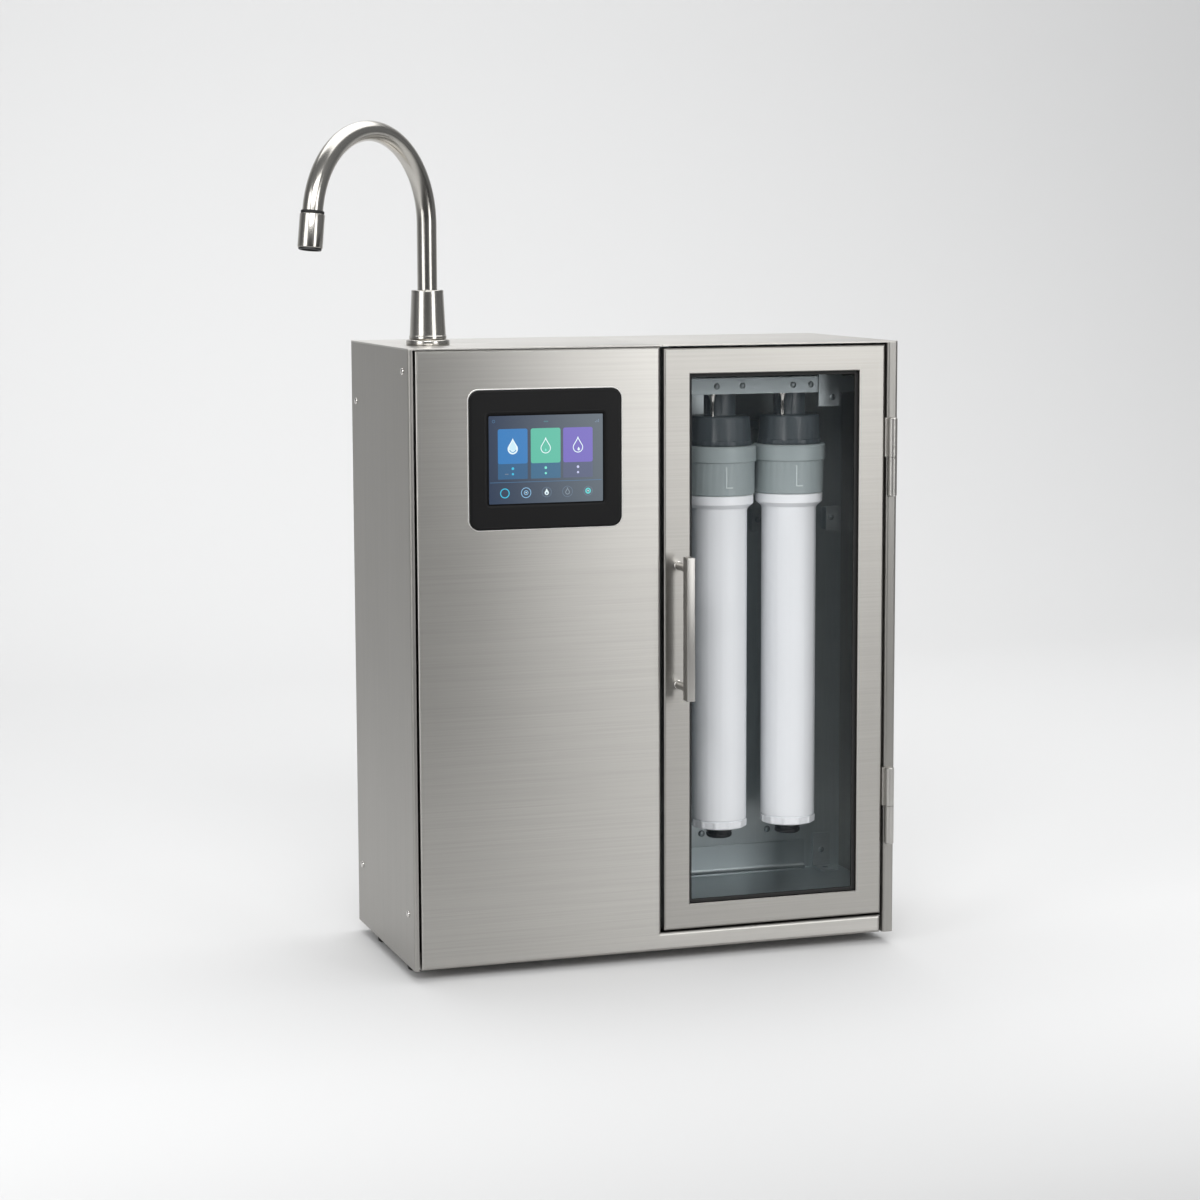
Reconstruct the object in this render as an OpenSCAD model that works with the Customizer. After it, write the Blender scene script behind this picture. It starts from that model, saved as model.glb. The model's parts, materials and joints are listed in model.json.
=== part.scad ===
// Commercial water ionizer: a stainless cabinet with a touch screen, a swivel gooseneck faucet
// and a glazed door in front of two quarter-turn filter cartridges.
// The origin is on the floor under the middle of the cabinet. The front faces -Y, and +X is to its right.

/* [Cabinet] */
// Width of the cabinet
cab_w = 500; // [480:5:600]
// Depth of the cabinet from its front face to its back
cab_d = 230; // [225:5:300]
// Height of the cabinet without its feet
cab_h = 597; // [580:1:700]
// Thickness of the stainless sheet
sheet_t = 1.5; // [1:0.1:2]
// Outside radius where the sheet is bent
bend_r = 3; // [2.5:0.5:4]
// Depth of the returns folded back from the front panel and the hinge post
front_return = 14; // [12:1:18]
// Width of the narrow front return on the left side panel
left_return = 4.5; // [4.5:0.5:8]
// Width of the returns at the back of the side panels
rear_return = 14; // [10:1:20]
// Width of the hinge post at the front of the right side panel
post_w = 11.5; // [10:0.5:16]
// Gap between the left side panel and the front panel
side_gap = 2; // [1:0.5:3]
// Height of the strip of front panel that runs under the door
sill_h = 18; // [12:1:30]
// Height of the lip round the base pan
base_lip = 15; // [10:1:20]
// Width of the seam between the two halves of the top
top_seam = 0.6; // [0.4:0.1:1]

/* [Feet] */
// Height of a rubber foot
foot_h = 12; // [8:1:25]
// Diameter of a foot where it meets the base
foot_d = 24; // [18:1:32]
// Distance of a foot's centre from the side of the cabinet
foot_in_x = 17; // [16:1:60]
// Distance of a foot's centre from the front and the back
foot_in_y = 55; // [30:1:80]

/* [Door] */
// Width of the door
door_w = 232; // [228:1:260]
// Depth of the door frame
door_t = 20; // [19:1:24]
// Gap on the hinge side of the door
door_gap = 2.5; // [2:0.25:4]
// Gap on the free side of the door
free_gap = 3; // [2.5:0.25:5]
// Gap above and below the door
door_gap_v = 2; // [1.5:0.25:4]
// Width of the frame at the sides of the glass
stile_w = 27; // [22:1:36]
// Width of the frame above and below the glass
door_rail_w = 25; // [22:1:36]
// Radius of the frame's front edges
frame_r = 2; // [1.5:0.25:3]
// Depth of the lip folded back round the glass opening
lip_d = 3.5; // [2.5:0.5:5]
// Size of the chamfer on the lip
lip_chamfer = 0.8; // [0.4:0.1:1.2]
// Thickness of the door glass
glass_t = 4; // [3:0.5:5]
// Distance that the glass reaches behind the frame
glass_lap = 9; // [6:1:14]
// Thickness of the black gasket in front of the glass
gasket_t = 2; // [1.5:0.5:3]
// Width of the gasket that shows inside the frame
gasket_show = 3.5; // [2:0.5:6]

/* [Handle] */
// Length of the handle bar
handle_l = 140; // [110:5:220]
// Distance between the two handle posts
handle_pitch = 117; // [80:1:200]
// Width of the handle bar
handle_w = 8; // [8:0.5:14]
// Thickness of the handle bar
handle_t = 13; // [8:0.5:16]
// Radius of the bar's long edges
handle_r = 1.5; // [0.5:0.25:3]
// Clear finger space behind the bar
handle_stand = 24; // [20:1:40]
// Diameter of a handle post
handle_post_d = 8; // [6:0.5:8]
// Distance of the handle from the free edge of the door
handle_in = 15; // [12:1:18]
// Height of the handle above the middle of the door
handle_up = 17; // [0:1:60]

/* [Hinges] */
// Length of one hinge
hinge_l = 78; // [50:2:110]
// Diameter of the hinge barrels
barrel_d = 9; // [8:0.5:10]
// Diameter of the hinge pin
hinge_pin_d = 5; // [3:0.5:5.5]
// Distance of a hinge's middle from the end of the door
hinge_inset = 111; // [70:1:160]
// Thickness of the leaf on the door edge
leaf_t = 1.4; // [1:0.1:1.6]
// Radial running clearance of pins and shafts
run_clear = 0.05; // [0.02:0.01:0.1]
// Gap between the two halves of a hinge, and between a barrel and the post
hinge_clear = 0.4; // [0.3:0.1:0.8]
// Size of the magnetic catch: width, depth and height
catch_size = [14, 14, 36];

/* [Faucet] */
// Distance of the faucet from the left side of the cabinet
faucet_in = 40; // [38:1:120]
// Distance of the faucet behind the front face
faucet_back = 77; // [60:1:110]
// Diameter of the flange on the cabinet top
flange_d = 42; // [38:1:60]
// Height of the flange
flange_h = 6; // [4:0.5:10]
// Diameter of the tapered body at its foot
body_d1 = 36; // [32:1:44]
// Diameter of the tapered body at its top
body_d2 = 31; // [26:1:36]
// Height of the tapered body
body_h = 47; // [40:1:80]
// Radius of the body's top edge
body_r = 2; // [1:0.5:3]
// Outside diameter of the spout tube
tube_d = 19; // [15:0.5:21]
// Wall of the spout tube
tube_wall = 1.2; // [1:0.1:2]
// Radius of the gooseneck along the middle of the tube
spout_r = 86; // [80:1:130]
// Height of the gooseneck's centre above the cabinet top
spout_rise = 116; // [95:1:160]
// Angle that the gooseneck turns through
spout_sweep = 172; // [150:1:180]
// Direction of the spout at rest, turned from the left towards the front
spout_turn = 38; // [0:1:90]
// Diameter of the nozzle
nozzle_d = 23; // [22:0.5:27]
// Length of the nozzle
nozzle_l = 31; // [25:1:45]
// Diameter of the black ring above the nozzle
nozzle_ring_d = 21.5; // [21.2:0.1:24]
// Height of the black ring above the nozzle
nozzle_ring_h = 3; // [2:0.5:5]
// Diameter of the threaded shank under the faucet
shank_d = 20; // [16:1:22]
// Length of the shank below the cabinet top
shank_l = 55; // [40:1:70]
// Thickness of the lock nut on the shank
lock_nut_h = 8; // [6:1:12]

/* [Screen] */
// Width of the screen bezel
bezel_w = 152; // [146:1:180]
// Height of the screen bezel
bezel_h = 133; // [126:1:150]
// Distance that the bezel stands proud of the panel
bezel_t = 3.5; // [3:0.5:5]
// Corner radius of the bezel
bezel_r = 10; // [5:1:14]
// Radius of the bezel's front edge
bezel_edge = 1.5; // [1:0.25:2]
// Width of the display
view_w = 114; // [100:1:120]
// Height of the display
view_h = 84; // [70:1:90]
// Depth of the display below the bezel's face
view_recess = 0.8; // [0.5:0.1:1.5]
// Distance of the bezel from the front panel's right edge
screen_in = 41; // [30:1:60]
// Distance of the bezel below the cabinet top
screen_drop = 40; // [30:1:90]
// Size of the screen housing behind the panel: width, depth and height
housing_size = [140, 40, 121];

/* [Filter bay] */
// Depth of the bay from the front face to its back wall
bay_d = 138; // [130:1:142]
// Height of the tray that floors the bay
tray_h = 40; // [34:1:46]
// Height of the upstand at the back of the tray
tray_up = 30; // [24:1:40]
// Radius of the coved bend at the back of the tray
cove_r = 6; // [4:0.5:8]
// Distance between the upstand and the bay's right wall
tray_notch = 40; // [32:1:60]
// Distance of the filter rail below the cabinet top
rail_drop = 52; // [48:1:80]
// Height of the filter rail
rail_h = 16; // [14:1:25]
// Distance of the rail's face behind the front face
rail_back = 48; // [44:1:52]
// Depth of the rail
rail_depth = 44; // [40:1:50]
// Distance between the rail's end and the bay's right wall
rail_short = 64; // [55:1:75]
// Width of the small tabs on the back wall
tab_w = 17; // [12:1:22]
// Height of the small tabs on the back wall
tab_h = 23; // [16:1:30]
// Height of the tabs above the tray
tab_up = 358; // [300:1:380]
// Size of the corner bracket on the tray: width, depth and height
corner_size = [19, 24, 36];
// Distance between the corner bracket and the bay's right wall
corner_in = 11; // [2:1:12]

/* [Filters] */
// Distance between the two filters
filter_pitch = 74.5; // [74:0.5:80]
// Distance of the pair to the right of the door's middle
filter_shift = 5; // [0:1:12]
// Distance of the filters behind the front face
filter_back = 70; // [68:1:76]
// Diameter of the neck on the filter head
neck_d = 32; // [28:1:38]
// Height of the neck on the filter head
neck_h = 22; // [14:1:26]
// Diameter of the filter head at its foot
head_d = 65; // [60:1:72]
// Diameter of the filter head at its top edge
head_top_d = 58; // [54:1:60]
// Height of the filter head
head_h = 29; // [22:1:34]
// Number of grip panels round the head
grips = 12; // [8:1:14]
// Width of a grip panel
grip_w = 12; // [8:0.5:13]
// Diameter of the spigot that hangs into the collar
spigot_d = 50; // [44:1:52]
// Length of the spigot
spigot_l = 24; // [20:1:30]
// Distance that a bayonet lug stands out from the spigot
lug_out = 3; // [2:0.5:3.5]
// Width of a bayonet lug
lug_w = 12; // [8:1:16]
// Height of a bayonet lug
lug_h = 6; // [4:0.5:8]
// Distance of the lugs below the head
lug_drop = 10; // [8:1:12]
// Diameter of the collar's upper ring
collar_d = 73; // [72:0.5:73.5]
// Height of the collar's upper ring
collar_h = 16; // [15:1:22]
// Diameter of the collar below its ring
collar_low_d = 70; // [68:0.5:71.5]
// Height of the collar below its ring
collar_low_h = 33; // [26:1:40]
// Size of the raised turning mark on the collar: width, thickness and height
mark_size = [9, 0.7, 20];
// Width of the lines of the mark
mark_line = 1.6; // [1:0.2:3]
// Diameter of the white flange under the collar
cap_d = 67.5; // [64:0.5:70]
// Height of the white flange
cap_h = 10; // [6:1:14]
// Outside diameter of the cartridge
cart_d = 55; // [54:0.1:62]
// Wall of the cartridge
cart_wall = 3; // [2:0.5:4]
// Length of the cartridge body
cart_l = 319; // [280:1:340]
// Height of the ribbed ring at the cartridge's foot
ring_h = 9; // [6:1:14]
// Number of ribs round that ring
ribs = 12; // [6:1:20]
// Diameter of the black plug under the cartridge
plug_d = 26; // [20:1:32]
// Height of the black plug
plug_h = 11; // [8:1:14]
// Clearance between the fixed head and the turning collar
twist_clear = 0.4; // [0.3:0.1:0.6]
// Outside diameter of the filter element
element_d = 43; // [38:1:48]
// Diameter of the element's centre bore
element_bore = 14; // [8:1:20]
// Diameter of a hanger bolt
hanger_d = 4; // [3:0.5:5]

/* [Water works] */
// Outside diameter of the hoses
hose_d = 11; // [9:0.5:12]
// Wall of the hoses
hose_wall = 1.5; // [1:0.25:2]
// Radius of a bend along the middle of a hose
hose_bend = 16; // [14:1:18]
// Distance between the two ports of a filter head
port_pitch = 28; // [24:1:32]
// Radius of the threaded water inlet on the back
inlet_r = 13.1; // [10.4:0.1:13.2]
// Length of the threaded water inlet
inlet_l = 16; // [12:1:24]
// Height of the water inlet above the cabinet's underside
inlet_up = 100; // [80:1:140]
// Radius of the drain barb on the back
drain_r = 7; // [5:0.5:8]
// Length of the drain barb
drain_l = 24; // [16:1:30]
// Height of the drain barb above the cabinet's underside
drain_up = 62; // [50:1:80]
// Height of the flow sensor above the cabinet's underside
sensor_up = 330; // [300:1:370]
// Height of the low hose run above the cabinet's underside
low_run_up = 226; // [218:1:236]
// Height of the hose run to the faucet above the cabinet's underside
faucet_run_up = 380; // [350:1:420]
// Size of the electrolysis cell: width, depth and height
cell_size = [110, 56, 160];
// Thickness of a clamp plate on the cell
clamp_t = 6; // [4:0.5:8]
// Distance of the cell's middle from the left side
cell_in = 120; // [100:1:130]
// Distance of the cell's middle behind the front face
cell_back = 130; // [115:1:135]
// Diameter of a tie rod
rod_d = 5; // [4:0.5:6]

/* [Electrics] */
// Size of the power supply: width, depth and height
supply_size = [98, 42, 190];
// Distance of the power supply from the left side
supply_in = 26; // [20:1:60]
// Distance of the power supply's top below the cabinet top
supply_drop = 90; // [70:1:120]
// Size of the control board: thickness, depth and height
board_size = [1.6, 100, 140];
// Height of the board's standoffs
standoff_h = 8; // [6:1:12]
// Height of the board above the cabinet's underside
board_up = 260; // [245:1:300]
// Size of the mains inlet's flange: width, thickness and height
mains_size = [50, 3, 30];
// Distance of the mains inlet from the left side
mains_in = 62; // [50:1:75]
// Height of the mains inlet above the cabinet's underside
mains_up = 66; // [50:1:90]
// Size of the rocker's flange: width, thickness and height
switch_size = [20, 2, 34];
// Distance of the rocker from the mains inlet
switch_out = 50; // [44:1:60]
// Angle that the rocker tips through
rocker_tip = 14; // [8:1:16]

/* [Screws] */
// Diameter of a screw head
screw_d = 7; // [5:0.5:9]
// Height of a screw head
screw_h = 2; // [1.5:0.25:3]
// Diameter of a screw shank
screw_shank_d = 3.5; // [2.5:0.5:4]
// Upper front side screw: distance from the front and from the top
screw_front_top = [20, 22];
// Upper back side screw: distance from the back and from the top
screw_back_top = [22, 60];
// Lower back side screw: distance from the back and from the underside
screw_back_low = [22, 62];
// Lower front side screw: distance from the front and from the underside
screw_front_low = [22, 52];
// Distances of the rail screws from the bay's left wall
rail_screw_ins = [74, 101, 155];
// Distance of the last rail screw from the rail's end
rail_screw_end = 8; // [6:1:12]

/* [Hidden] */
$fn = 72;
steel = [0.74, 0.74, 0.73];
bright = [0.83, 0.83, 0.82];
inner_steel = [0.45, 0.48, 0.49];
black = [0.09, 0.09, 0.1];
charcoal = [0.22, 0.24, 0.25];
grey = [0.52, 0.56, 0.57];
white = [0.93, 0.94, 0.95];
board_green = [0.1, 0.35, 0.22];
brass = [0.78, 0.62, 0.3];
screen_blue = [0.18, 0.26, 0.38];
clear_tint = [0.6, 0.68, 0.7, 0.35];
hose_blue = [0.55, 0.68, 0.8];

// Cuts run this far past the faces that they open
over = 1;
// Easy fit between pieces that sit one inside the other
fit = 0.3;

// Cabinet planes
x_l = -cab_w / 2;
x_r = cab_w / 2;
y_f = -cab_d / 2;
y_b = cab_d / 2;
z_0 = foot_h;
z_t = z_0 + cab_h;
in_l = x_l + sheet_t;
in_r = x_r - sheet_t;
in_b = y_b - 2 * sheet_t;
in_t = z_t - sheet_t;
floor_z = z_0 + sheet_t;
behind_f = y_f + front_return;

// Front panel, door and post
panel_l = x_l + left_return + side_gap;
post_l = x_r - post_w;
door_r = post_l - door_gap;
door_l = door_r - door_w;
panel_r = door_l - free_gap;
door_z0 = z_0 + sill_h + door_gap_v;
door_z1 = in_t - door_gap_v;
door_mid = (door_z0 + door_z1) / 2;
door_back = y_f + door_t;
open_l = door_l + stile_w;
open_r = door_r - stile_w;
open_z0 = door_z0 + door_rail_w;
open_z1 = door_z1 - door_rail_w;
gasket_y = y_f + sheet_t + lip_d;
glass_y = gasket_y + gasket_t;
retainer_y = glass_y + glass_t;

// Hinges and catch
barrel_r = barrel_d / 2;
hinge_x = post_l + barrel_r - hinge_clear;
hinge_y = y_f - barrel_r - hinge_clear;
hinge_zs = [door_z0 + hinge_inset, door_z1 - hinge_inset];
pin_r = hinge_pin_d / 2;
hinge_end = 3;
barrel_chamfer = 0.8;
leaf_reach = 16;
catch_gap = 0.4;

// Handle
handle_x = door_l + handle_in;
handle_z = door_mid + handle_up;
bar_y = y_f - handle_stand;

// Faucet
faucet_x = x_l + faucet_in;
faucet_y = y_f + faucet_back;
body_z = z_t + flange_h;
tube_r = tube_d / 2;
spout_z = z_t + spout_rise;
bush_t = 2.5;
bush_h = 8;
shank_bore = 6;

// Screen
bezel_x1 = panel_r - screen_in;
bezel_x0 = bezel_x1 - bezel_w;
bezel_z1 = z_t - screen_drop;
bezel_z0 = bezel_z1 - bezel_h;
screen_x = (bezel_x0 + bezel_x1) / 2;
screen_z = (bezel_z0 + bezel_z1) / 2;

// Filter bay
bay_l = panel_r + sheet_t;
bay_y = y_f + bay_d;
tray_z = z_0 + tray_h;
tray_clear = 3;
tray_front = door_back + tray_clear;
tray_r = in_r - tray_notch;
rail_z = z_t - rail_drop;
rail_y = y_f + rail_back;
rail_r = in_r - rail_short;
tab_z = tray_z + tab_up;
corner_x = in_r - corner_in - corner_size.x;
seam_x = bay_l;
bracket_plate = 23;
bracket_up = 3;
bracket_down = 14;
bracket_flange = 24;
bracket_screw_in = 15;
bracket_screw_up = 9;
tab_out = 20;
tab_in = 5;
tab_flange = 12;

// Filters
filter_y = y_f + filter_back;
filter_mid = (door_l + door_r) / 2 + filter_shift;
filter_xs = [filter_mid - filter_pitch / 2, filter_mid + filter_pitch / 2];
head_z1 = rail_z - neck_h;
head_z0 = head_z1 - head_h;
collar_z1 = head_z0 - twist_clear;
collar_z = collar_z1 - collar_h;
collar_z0 = collar_z - collar_low_h;
cart_z1 = collar_z0 - cap_h;
cart_z0 = cart_z1 - cart_l;
ring_z0 = cart_z0 - ring_h;
spigot_r = spigot_d / 2;
spigot_z = head_z0 - spigot_l;
lug_z = head_z0 - lug_drop;
bay_bore_r = spigot_r + lug_out + twist_clear;
cart_neck_r = bay_bore_r - 0.2;
cart_neck_z = spigot_z - twist_clear;
cart_bore_r = cart_d / 2 - cart_wall;
element_cap = 6;
washer_d = 9;
washer_t = 1.5;
hanger_turn = 49;
hanger_at = ((neck_d + washer_d) / 2 + 2 * fit) * [cos(hanger_turn), sin(hanger_turn)];

// Water works
hose_r = hose_d / 2;
port_r = hose_r;
port_out = 7;
port_bore = hose_r - hose_wall;
port_z = (head_z0 + head_z1) / 2;
port_y = bay_y + sheet_t + port_out;
inlet_x = filter_xs[0] - port_pitch / 2;
inlet_z = z_0 + inlet_up;
valve_y = bay_y + sheet_t + 28;
valve_size = [40, 34, 44];
coil_d = 32;
coil_h = 34;
sensor_x = filter_xs[1] + port_pitch / 2;
sensor_y = in_b - 20;
sensor_l = 46;
sensor_z = z_0 + sensor_up;
sensor_d = 26;
low_run_z = z_0 + low_run_up;
cell_x = x_l + cell_in;
cell_y = y_f + cell_back;
cell_z = floor_z + 20;
cell_top = cell_z + cell_size.z;
spigot_out = 14;
cell_port_dx = 26;
cell_in_z = cell_z + 40;
clamp_over = 8;
drain_x = cell_x + cell_port_dx;
drain_z = z_0 + drain_up;
drain_y = in_b - 34;
drain_in = 8;
shoulder = 1;
collar_t = 4;
rise_up = 60;
rise_z = low_run_z + rise_up;
faucet_run_z = z_0 + faucet_run_up;

// Electrics
supply_x = in_l + supply_in;
supply_z = z_t - supply_drop - supply_size.z;
board_y = cell_y - board_size.y / 2;
board_z = z_0 + board_up;
standoff_in = 8;
mains_x = x_l + mains_in;
mains_z = z_0 + mains_up;
switch_x = mains_x + switch_out;
mains_cut = [mains_size.x / 2 - 9, 0, mains_size.z / 2 - 4];
switch_cut = [switch_size.x / 2 - 2, 0, switch_size.z / 2 - 2];
rocker_w = 11;
rocker_l = 23;
rocker_y = y_b - sheet_t + 1;
trunnion_d = 3;
trunnion_l = 1.5;

// Shared shapes

// Box between two opposite corners
module slab(lo, hi) {
    translate(lo) cube(hi - lo);
}

// Frame between two boxes in the plane of the front
module ring_slab(lo, hi, wall) {
    difference() {
        slab(lo, hi);
        slab(lo + [wall, -over, wall], hi + [-wall, over, -wall]);
    }
}

// Rectangle with round corners between two opposite corners
module round_rect(lo, hi, r) {
    translate([lo.x + r, lo.y]) square([hi.x - lo.x - 2 * r, hi.y - lo.y]);
    translate([lo.x, lo.y + r]) square([hi.x - lo.x, hi.y - lo.y - 2 * r]);
    for (x = [lo.x + r, hi.x - r], y = [lo.y + r, hi.y - r]) translate([x, y]) circle(r);
}

// Cross-section from a to b whose two corners at the front face are round
module front_round(a, b, face, depth, r) {
    translate([a, face + r]) square([b - a, depth - r]);
    translate([a + r, face]) square([b - a - 2 * r, 2 * r]);
    for (c = [a + r, b - r]) translate([c, face + r]) circle(r);
}

// Block behind the front face with its upright edges rounded; lo and hi are x and z
module round_sides(lo, hi, face, depth, r) {
    translate([0, 0, lo.y]) linear_extrude(hi.y - lo.y) front_round(lo.x, hi.x, face, depth, r);
}

// The same block with its level edges rounded
module round_ends(lo, hi, face, depth, r) {
    translate([hi.x, 0, 0]) rotate([0, -90, 0]) linear_extrude(hi.x - lo.x)
        front_round(lo.y, hi.y, face, depth, r);
}

// Block with all its front edges rounded
module pan(lo, hi, face, depth, r) {
    intersection() {
        round_sides(lo, hi, face, depth, r);
        round_ends(lo, hi, face, depth, r);
    }
}

// Quarter of a bent sheet about a centre, in the quadrant that the signs name
module bend(c, sx, sy) {
    intersection() {
        translate(c) difference() {
            circle(bend_r);
            circle(bend_r - sheet_t);
        }
        translate([sx < 0 ? c.x - bend_r : c.x, sy < 0 ? c.y - bend_r : c.y]) square(bend_r);
    }
}

// Flat annulus
module annulus(r, bore) {
    difference() {
        circle(r);
        circle(bore);
    }
}

// Upright tube
module tube(r, bore, h) {
    linear_extrude(h) annulus(r, bore);
}

// Domed screw whose head's underside lies at the origin and whose shank points along -Z
module screw(shank) {
    rotate_extrude() {
        translate([0, -shank]) square([screw_shank_d / 2, shank]);
        intersection() {
            translate([0, -screw_d]) circle(norm([screw_d, screw_d / 2]));
            square([screw_d / 2, screw_h]);
        }
    }
}

// Puts children at p with +Z turned to point along -Y
module facing_front(p) {
    translate(p) rotate([90, 0, 0]) children();
}

// Puts children at p with +Z turned to point along +Y
module facing_back(p) {
    translate(p) rotate([-90, 0, 0]) children();
}

// Straight stretch of hose between two points
module hose_run(a, b) {
    d = b - a;
    translate(a) rotate([0, acos(d.z / norm(d)), atan2(d.y, d.x)]) tube(hose_r, port_bore, norm(d));
}

// Quarter bend of hose at corner p, from direction u to direction v
module hose_elbow(p, u, v) {
    c = p - u * hose_bend + v * hose_bend;
    n = cross(u, v);
    multmatrix([
        [-v.x, u.x, n.x, c.x],
        [-v.y, u.y, n.y, c.y],
        [-v.z, u.z, n.z, c.z],
        [0, 0, 0, 1]
    ]) rotate_extrude(angle = 90) translate([hose_bend, 0]) annulus(hose_r, port_bore);
}

// Hose along square-cornered points, with each corner bent round
module hose(pts) {
    last = len(pts) - 1;
    dirs = [for (i = [0:last - 1]) (pts[i + 1] - pts[i]) / norm(pts[i + 1] - pts[i])];
    for (i = [0:last - 1]) {
        a = pts[i] + (i > 0 ? dirs[i] * hose_bend : [0, 0, 0]);
        b = pts[i + 1] - (i < last - 1 ? dirs[i] * hose_bend : [0, 0, 0]);
        hose_run(a, b);
    }
    for (i = [1:last - 1]) hose_elbow(pts[i], dirs[i - 1], dirs[i]);
}

// Screw places, shared by the screws and their holes
side_screw_yz = [
    [y_f + screw_front_top.x, z_t - screw_front_top.y], [y_b - screw_back_top.x, z_t - screw_back_top.y],
    [y_b - screw_back_low.x, z_0 + screw_back_low.y], [y_f + screw_front_low.x, z_0 + screw_front_low.y]
];
rail_screw_xs = [for (x = rail_screw_ins) bay_l + x, rail_r - rail_screw_end];
bracket_screw = [rail_r + bracket_screw_in, rail_z - bracket_down + bracket_screw_up];
tab_xs = [filter_mid + tab_out, in_r - tab_w - tab_in];

// Cabinet

module base_pan() {
    lo = [in_l, behind_f, z_0];
    hi = [in_r, in_b, z_0 + base_lip];
    color(steel) difference() {
        slab(lo, hi);
        slab(lo + [sheet_t, sheet_t, sheet_t], hi + [-sheet_t, -sheet_t, over]);
    }
}

module feet() {
    sole = foot_d - 5;
    color(black) for (x = [x_l + foot_in_x, x_r - foot_in_x], y = [y_f + foot_in_y, y_b - foot_in_y])
        translate([x, y, 0]) cylinder(h = foot_h, d1 = sole, d2 = foot_d);
}

module side_holes(x) {
    for (p = side_screw_yz) translate([x - bend_r, p.x, p.y]) rotate([0, 90, 0])
        cylinder(h = 2 * bend_r, d = screw_shank_d);
}

module left_side_panel() {
    color(steel) difference() {
        translate([0, 0, z_0]) linear_extrude(cab_h - sheet_t) {
            translate([x_l, y_f + bend_r]) square([sheet_t, cab_d - 2 * bend_r]);
            bend([x_l + bend_r, y_f + bend_r], -1, -1);
            bend([x_l + bend_r, y_b - bend_r], -1, 1);
            translate([x_l + bend_r, y_f]) square([left_return - bend_r, sheet_t]);
            translate([x_l + bend_r, y_b - sheet_t]) square([rear_return - bend_r, sheet_t]);
        }
        side_holes(x_l);
    }
}

module right_side_panel() {
    color(steel) difference() {
        translate([0, 0, z_0]) linear_extrude(cab_h - sheet_t) {
            translate([in_r, y_f + bend_r]) square([sheet_t, cab_d - 2 * bend_r]);
            bend([x_r - bend_r, y_f + bend_r], 1, -1);
            bend([x_r - bend_r, y_b - bend_r], 1, 1);
            bend([post_l + bend_r, y_f + bend_r], -1, -1);
            translate([post_l + bend_r, y_f]) square([post_w - 2 * bend_r, sheet_t]);
            translate([post_l, y_f + bend_r]) square([sheet_t, front_return - bend_r]);
            translate([x_r - rear_return, y_b - sheet_t]) square([rear_return - bend_r, sheet_t]);
        }
        side_holes(x_r);
    }
}

module back_panel() {
    vents = 5;
    vent_step = 11;
    vent_h = 4;
    vent_z = supply_z + supply_size.z + vent_step;
    lo = [x_l + bend_r, in_b, z_0];
    hi = [x_r - bend_r, in_b + sheet_t, in_t];
    color(steel) difference() {
        slab(lo, hi);
        facing_back([inlet_x, in_b - over, inlet_z])
            cylinder(h = 2 * over + sheet_t, r = inlet_r + shoulder + fit);
        facing_back([drain_x, in_b - over, drain_z])
            cylinder(h = 2 * over + sheet_t, r = drain_r + shoulder + fit);
        slab([mains_x, lo.y - over, mains_z] - mains_cut, [mains_x, hi.y + over, mains_z] + mains_cut);
        slab([switch_x, lo.y - over, mains_z] - switch_cut, [switch_x, hi.y + over, mains_z] + switch_cut);
        for (i = [0:vents - 1])
            slab([supply_x, lo.y - over, vent_z + i * vent_step],
                 [supply_x + supply_size.x, hi.y + over, vent_z + i * vent_step + vent_h]);
    }
}

module top_half(x0, x1) {
    translate([0, 0, in_t]) linear_extrude(sheet_t) intersection() {
        round_rect([x_l, y_f], [x_r, y_b], bend_r);
        translate([x0, y_f]) square([x1 - x0, cab_d]);
    }
}

module top_panel() {
    color(steel) difference() {
        top_half(x_l, seam_x - top_seam / 2);
        translate([faucet_x, faucet_y, in_t - over]) cylinder(h = sheet_t + 2 * over, d = shank_d + 2 * fit);
    }
}

module bay_top_panel() {
    color(steel) top_half(seam_x + top_seam / 2, x_r);
}

module front_panel() {
    lo = [panel_l, z_0];
    tall = [panel_r, in_t];
    low = [door_r, z_0 + sill_h];
    wall = [sheet_t, sheet_t];
    cut_r = bend_r - sheet_t;
    cut_face = y_f + sheet_t;
    half = [housing_size.x / 2 + fit, 0, housing_size.z / 2 + fit];
    color(steel) difference() {
        union() {
            pan(lo, tall, y_f, front_return, bend_r);
            pan(lo, low, y_f, front_return, bend_r);
        }
        pan(lo + wall, tall - wall, cut_face, front_return, cut_r);
        pan(lo + wall, low - wall, cut_face, front_return, cut_r);
        slab([screen_x, y_f - over, screen_z] - half, [screen_x, cut_face + over, screen_z] + half);
    }
}

module divider() {
    flange = 12;
    color(inner_steel) difference() {
        union() {
            slab([panel_r, behind_f + sheet_t, floor_z], [bay_l, in_b - sheet_t, in_t]);
            slab([panel_r, behind_f + sheet_t, in_t - sheet_t], [bay_l + flange, in_b - sheet_t, in_t]);
        }
        translate([panel_r - over, sensor_y, low_run_z]) rotate([0, 90, 0])
            cylinder(h = sheet_t + 2 * over, r = hose_r + fit);
    }
}

// Filter bay

module bay_back_panel() {
    color(inner_steel) difference() {
        slab([bay_l, bay_y, tray_z], [in_r, bay_y + sheet_t, in_t - sheet_t]);
        for (x = filter_xs, s = [-1, 1])
            facing_back([x + s * port_pitch / 2, bay_y - over, port_z])
                cylinder(h = sheet_t + 2 * over, r = port_r + fit);
    }
}

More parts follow.
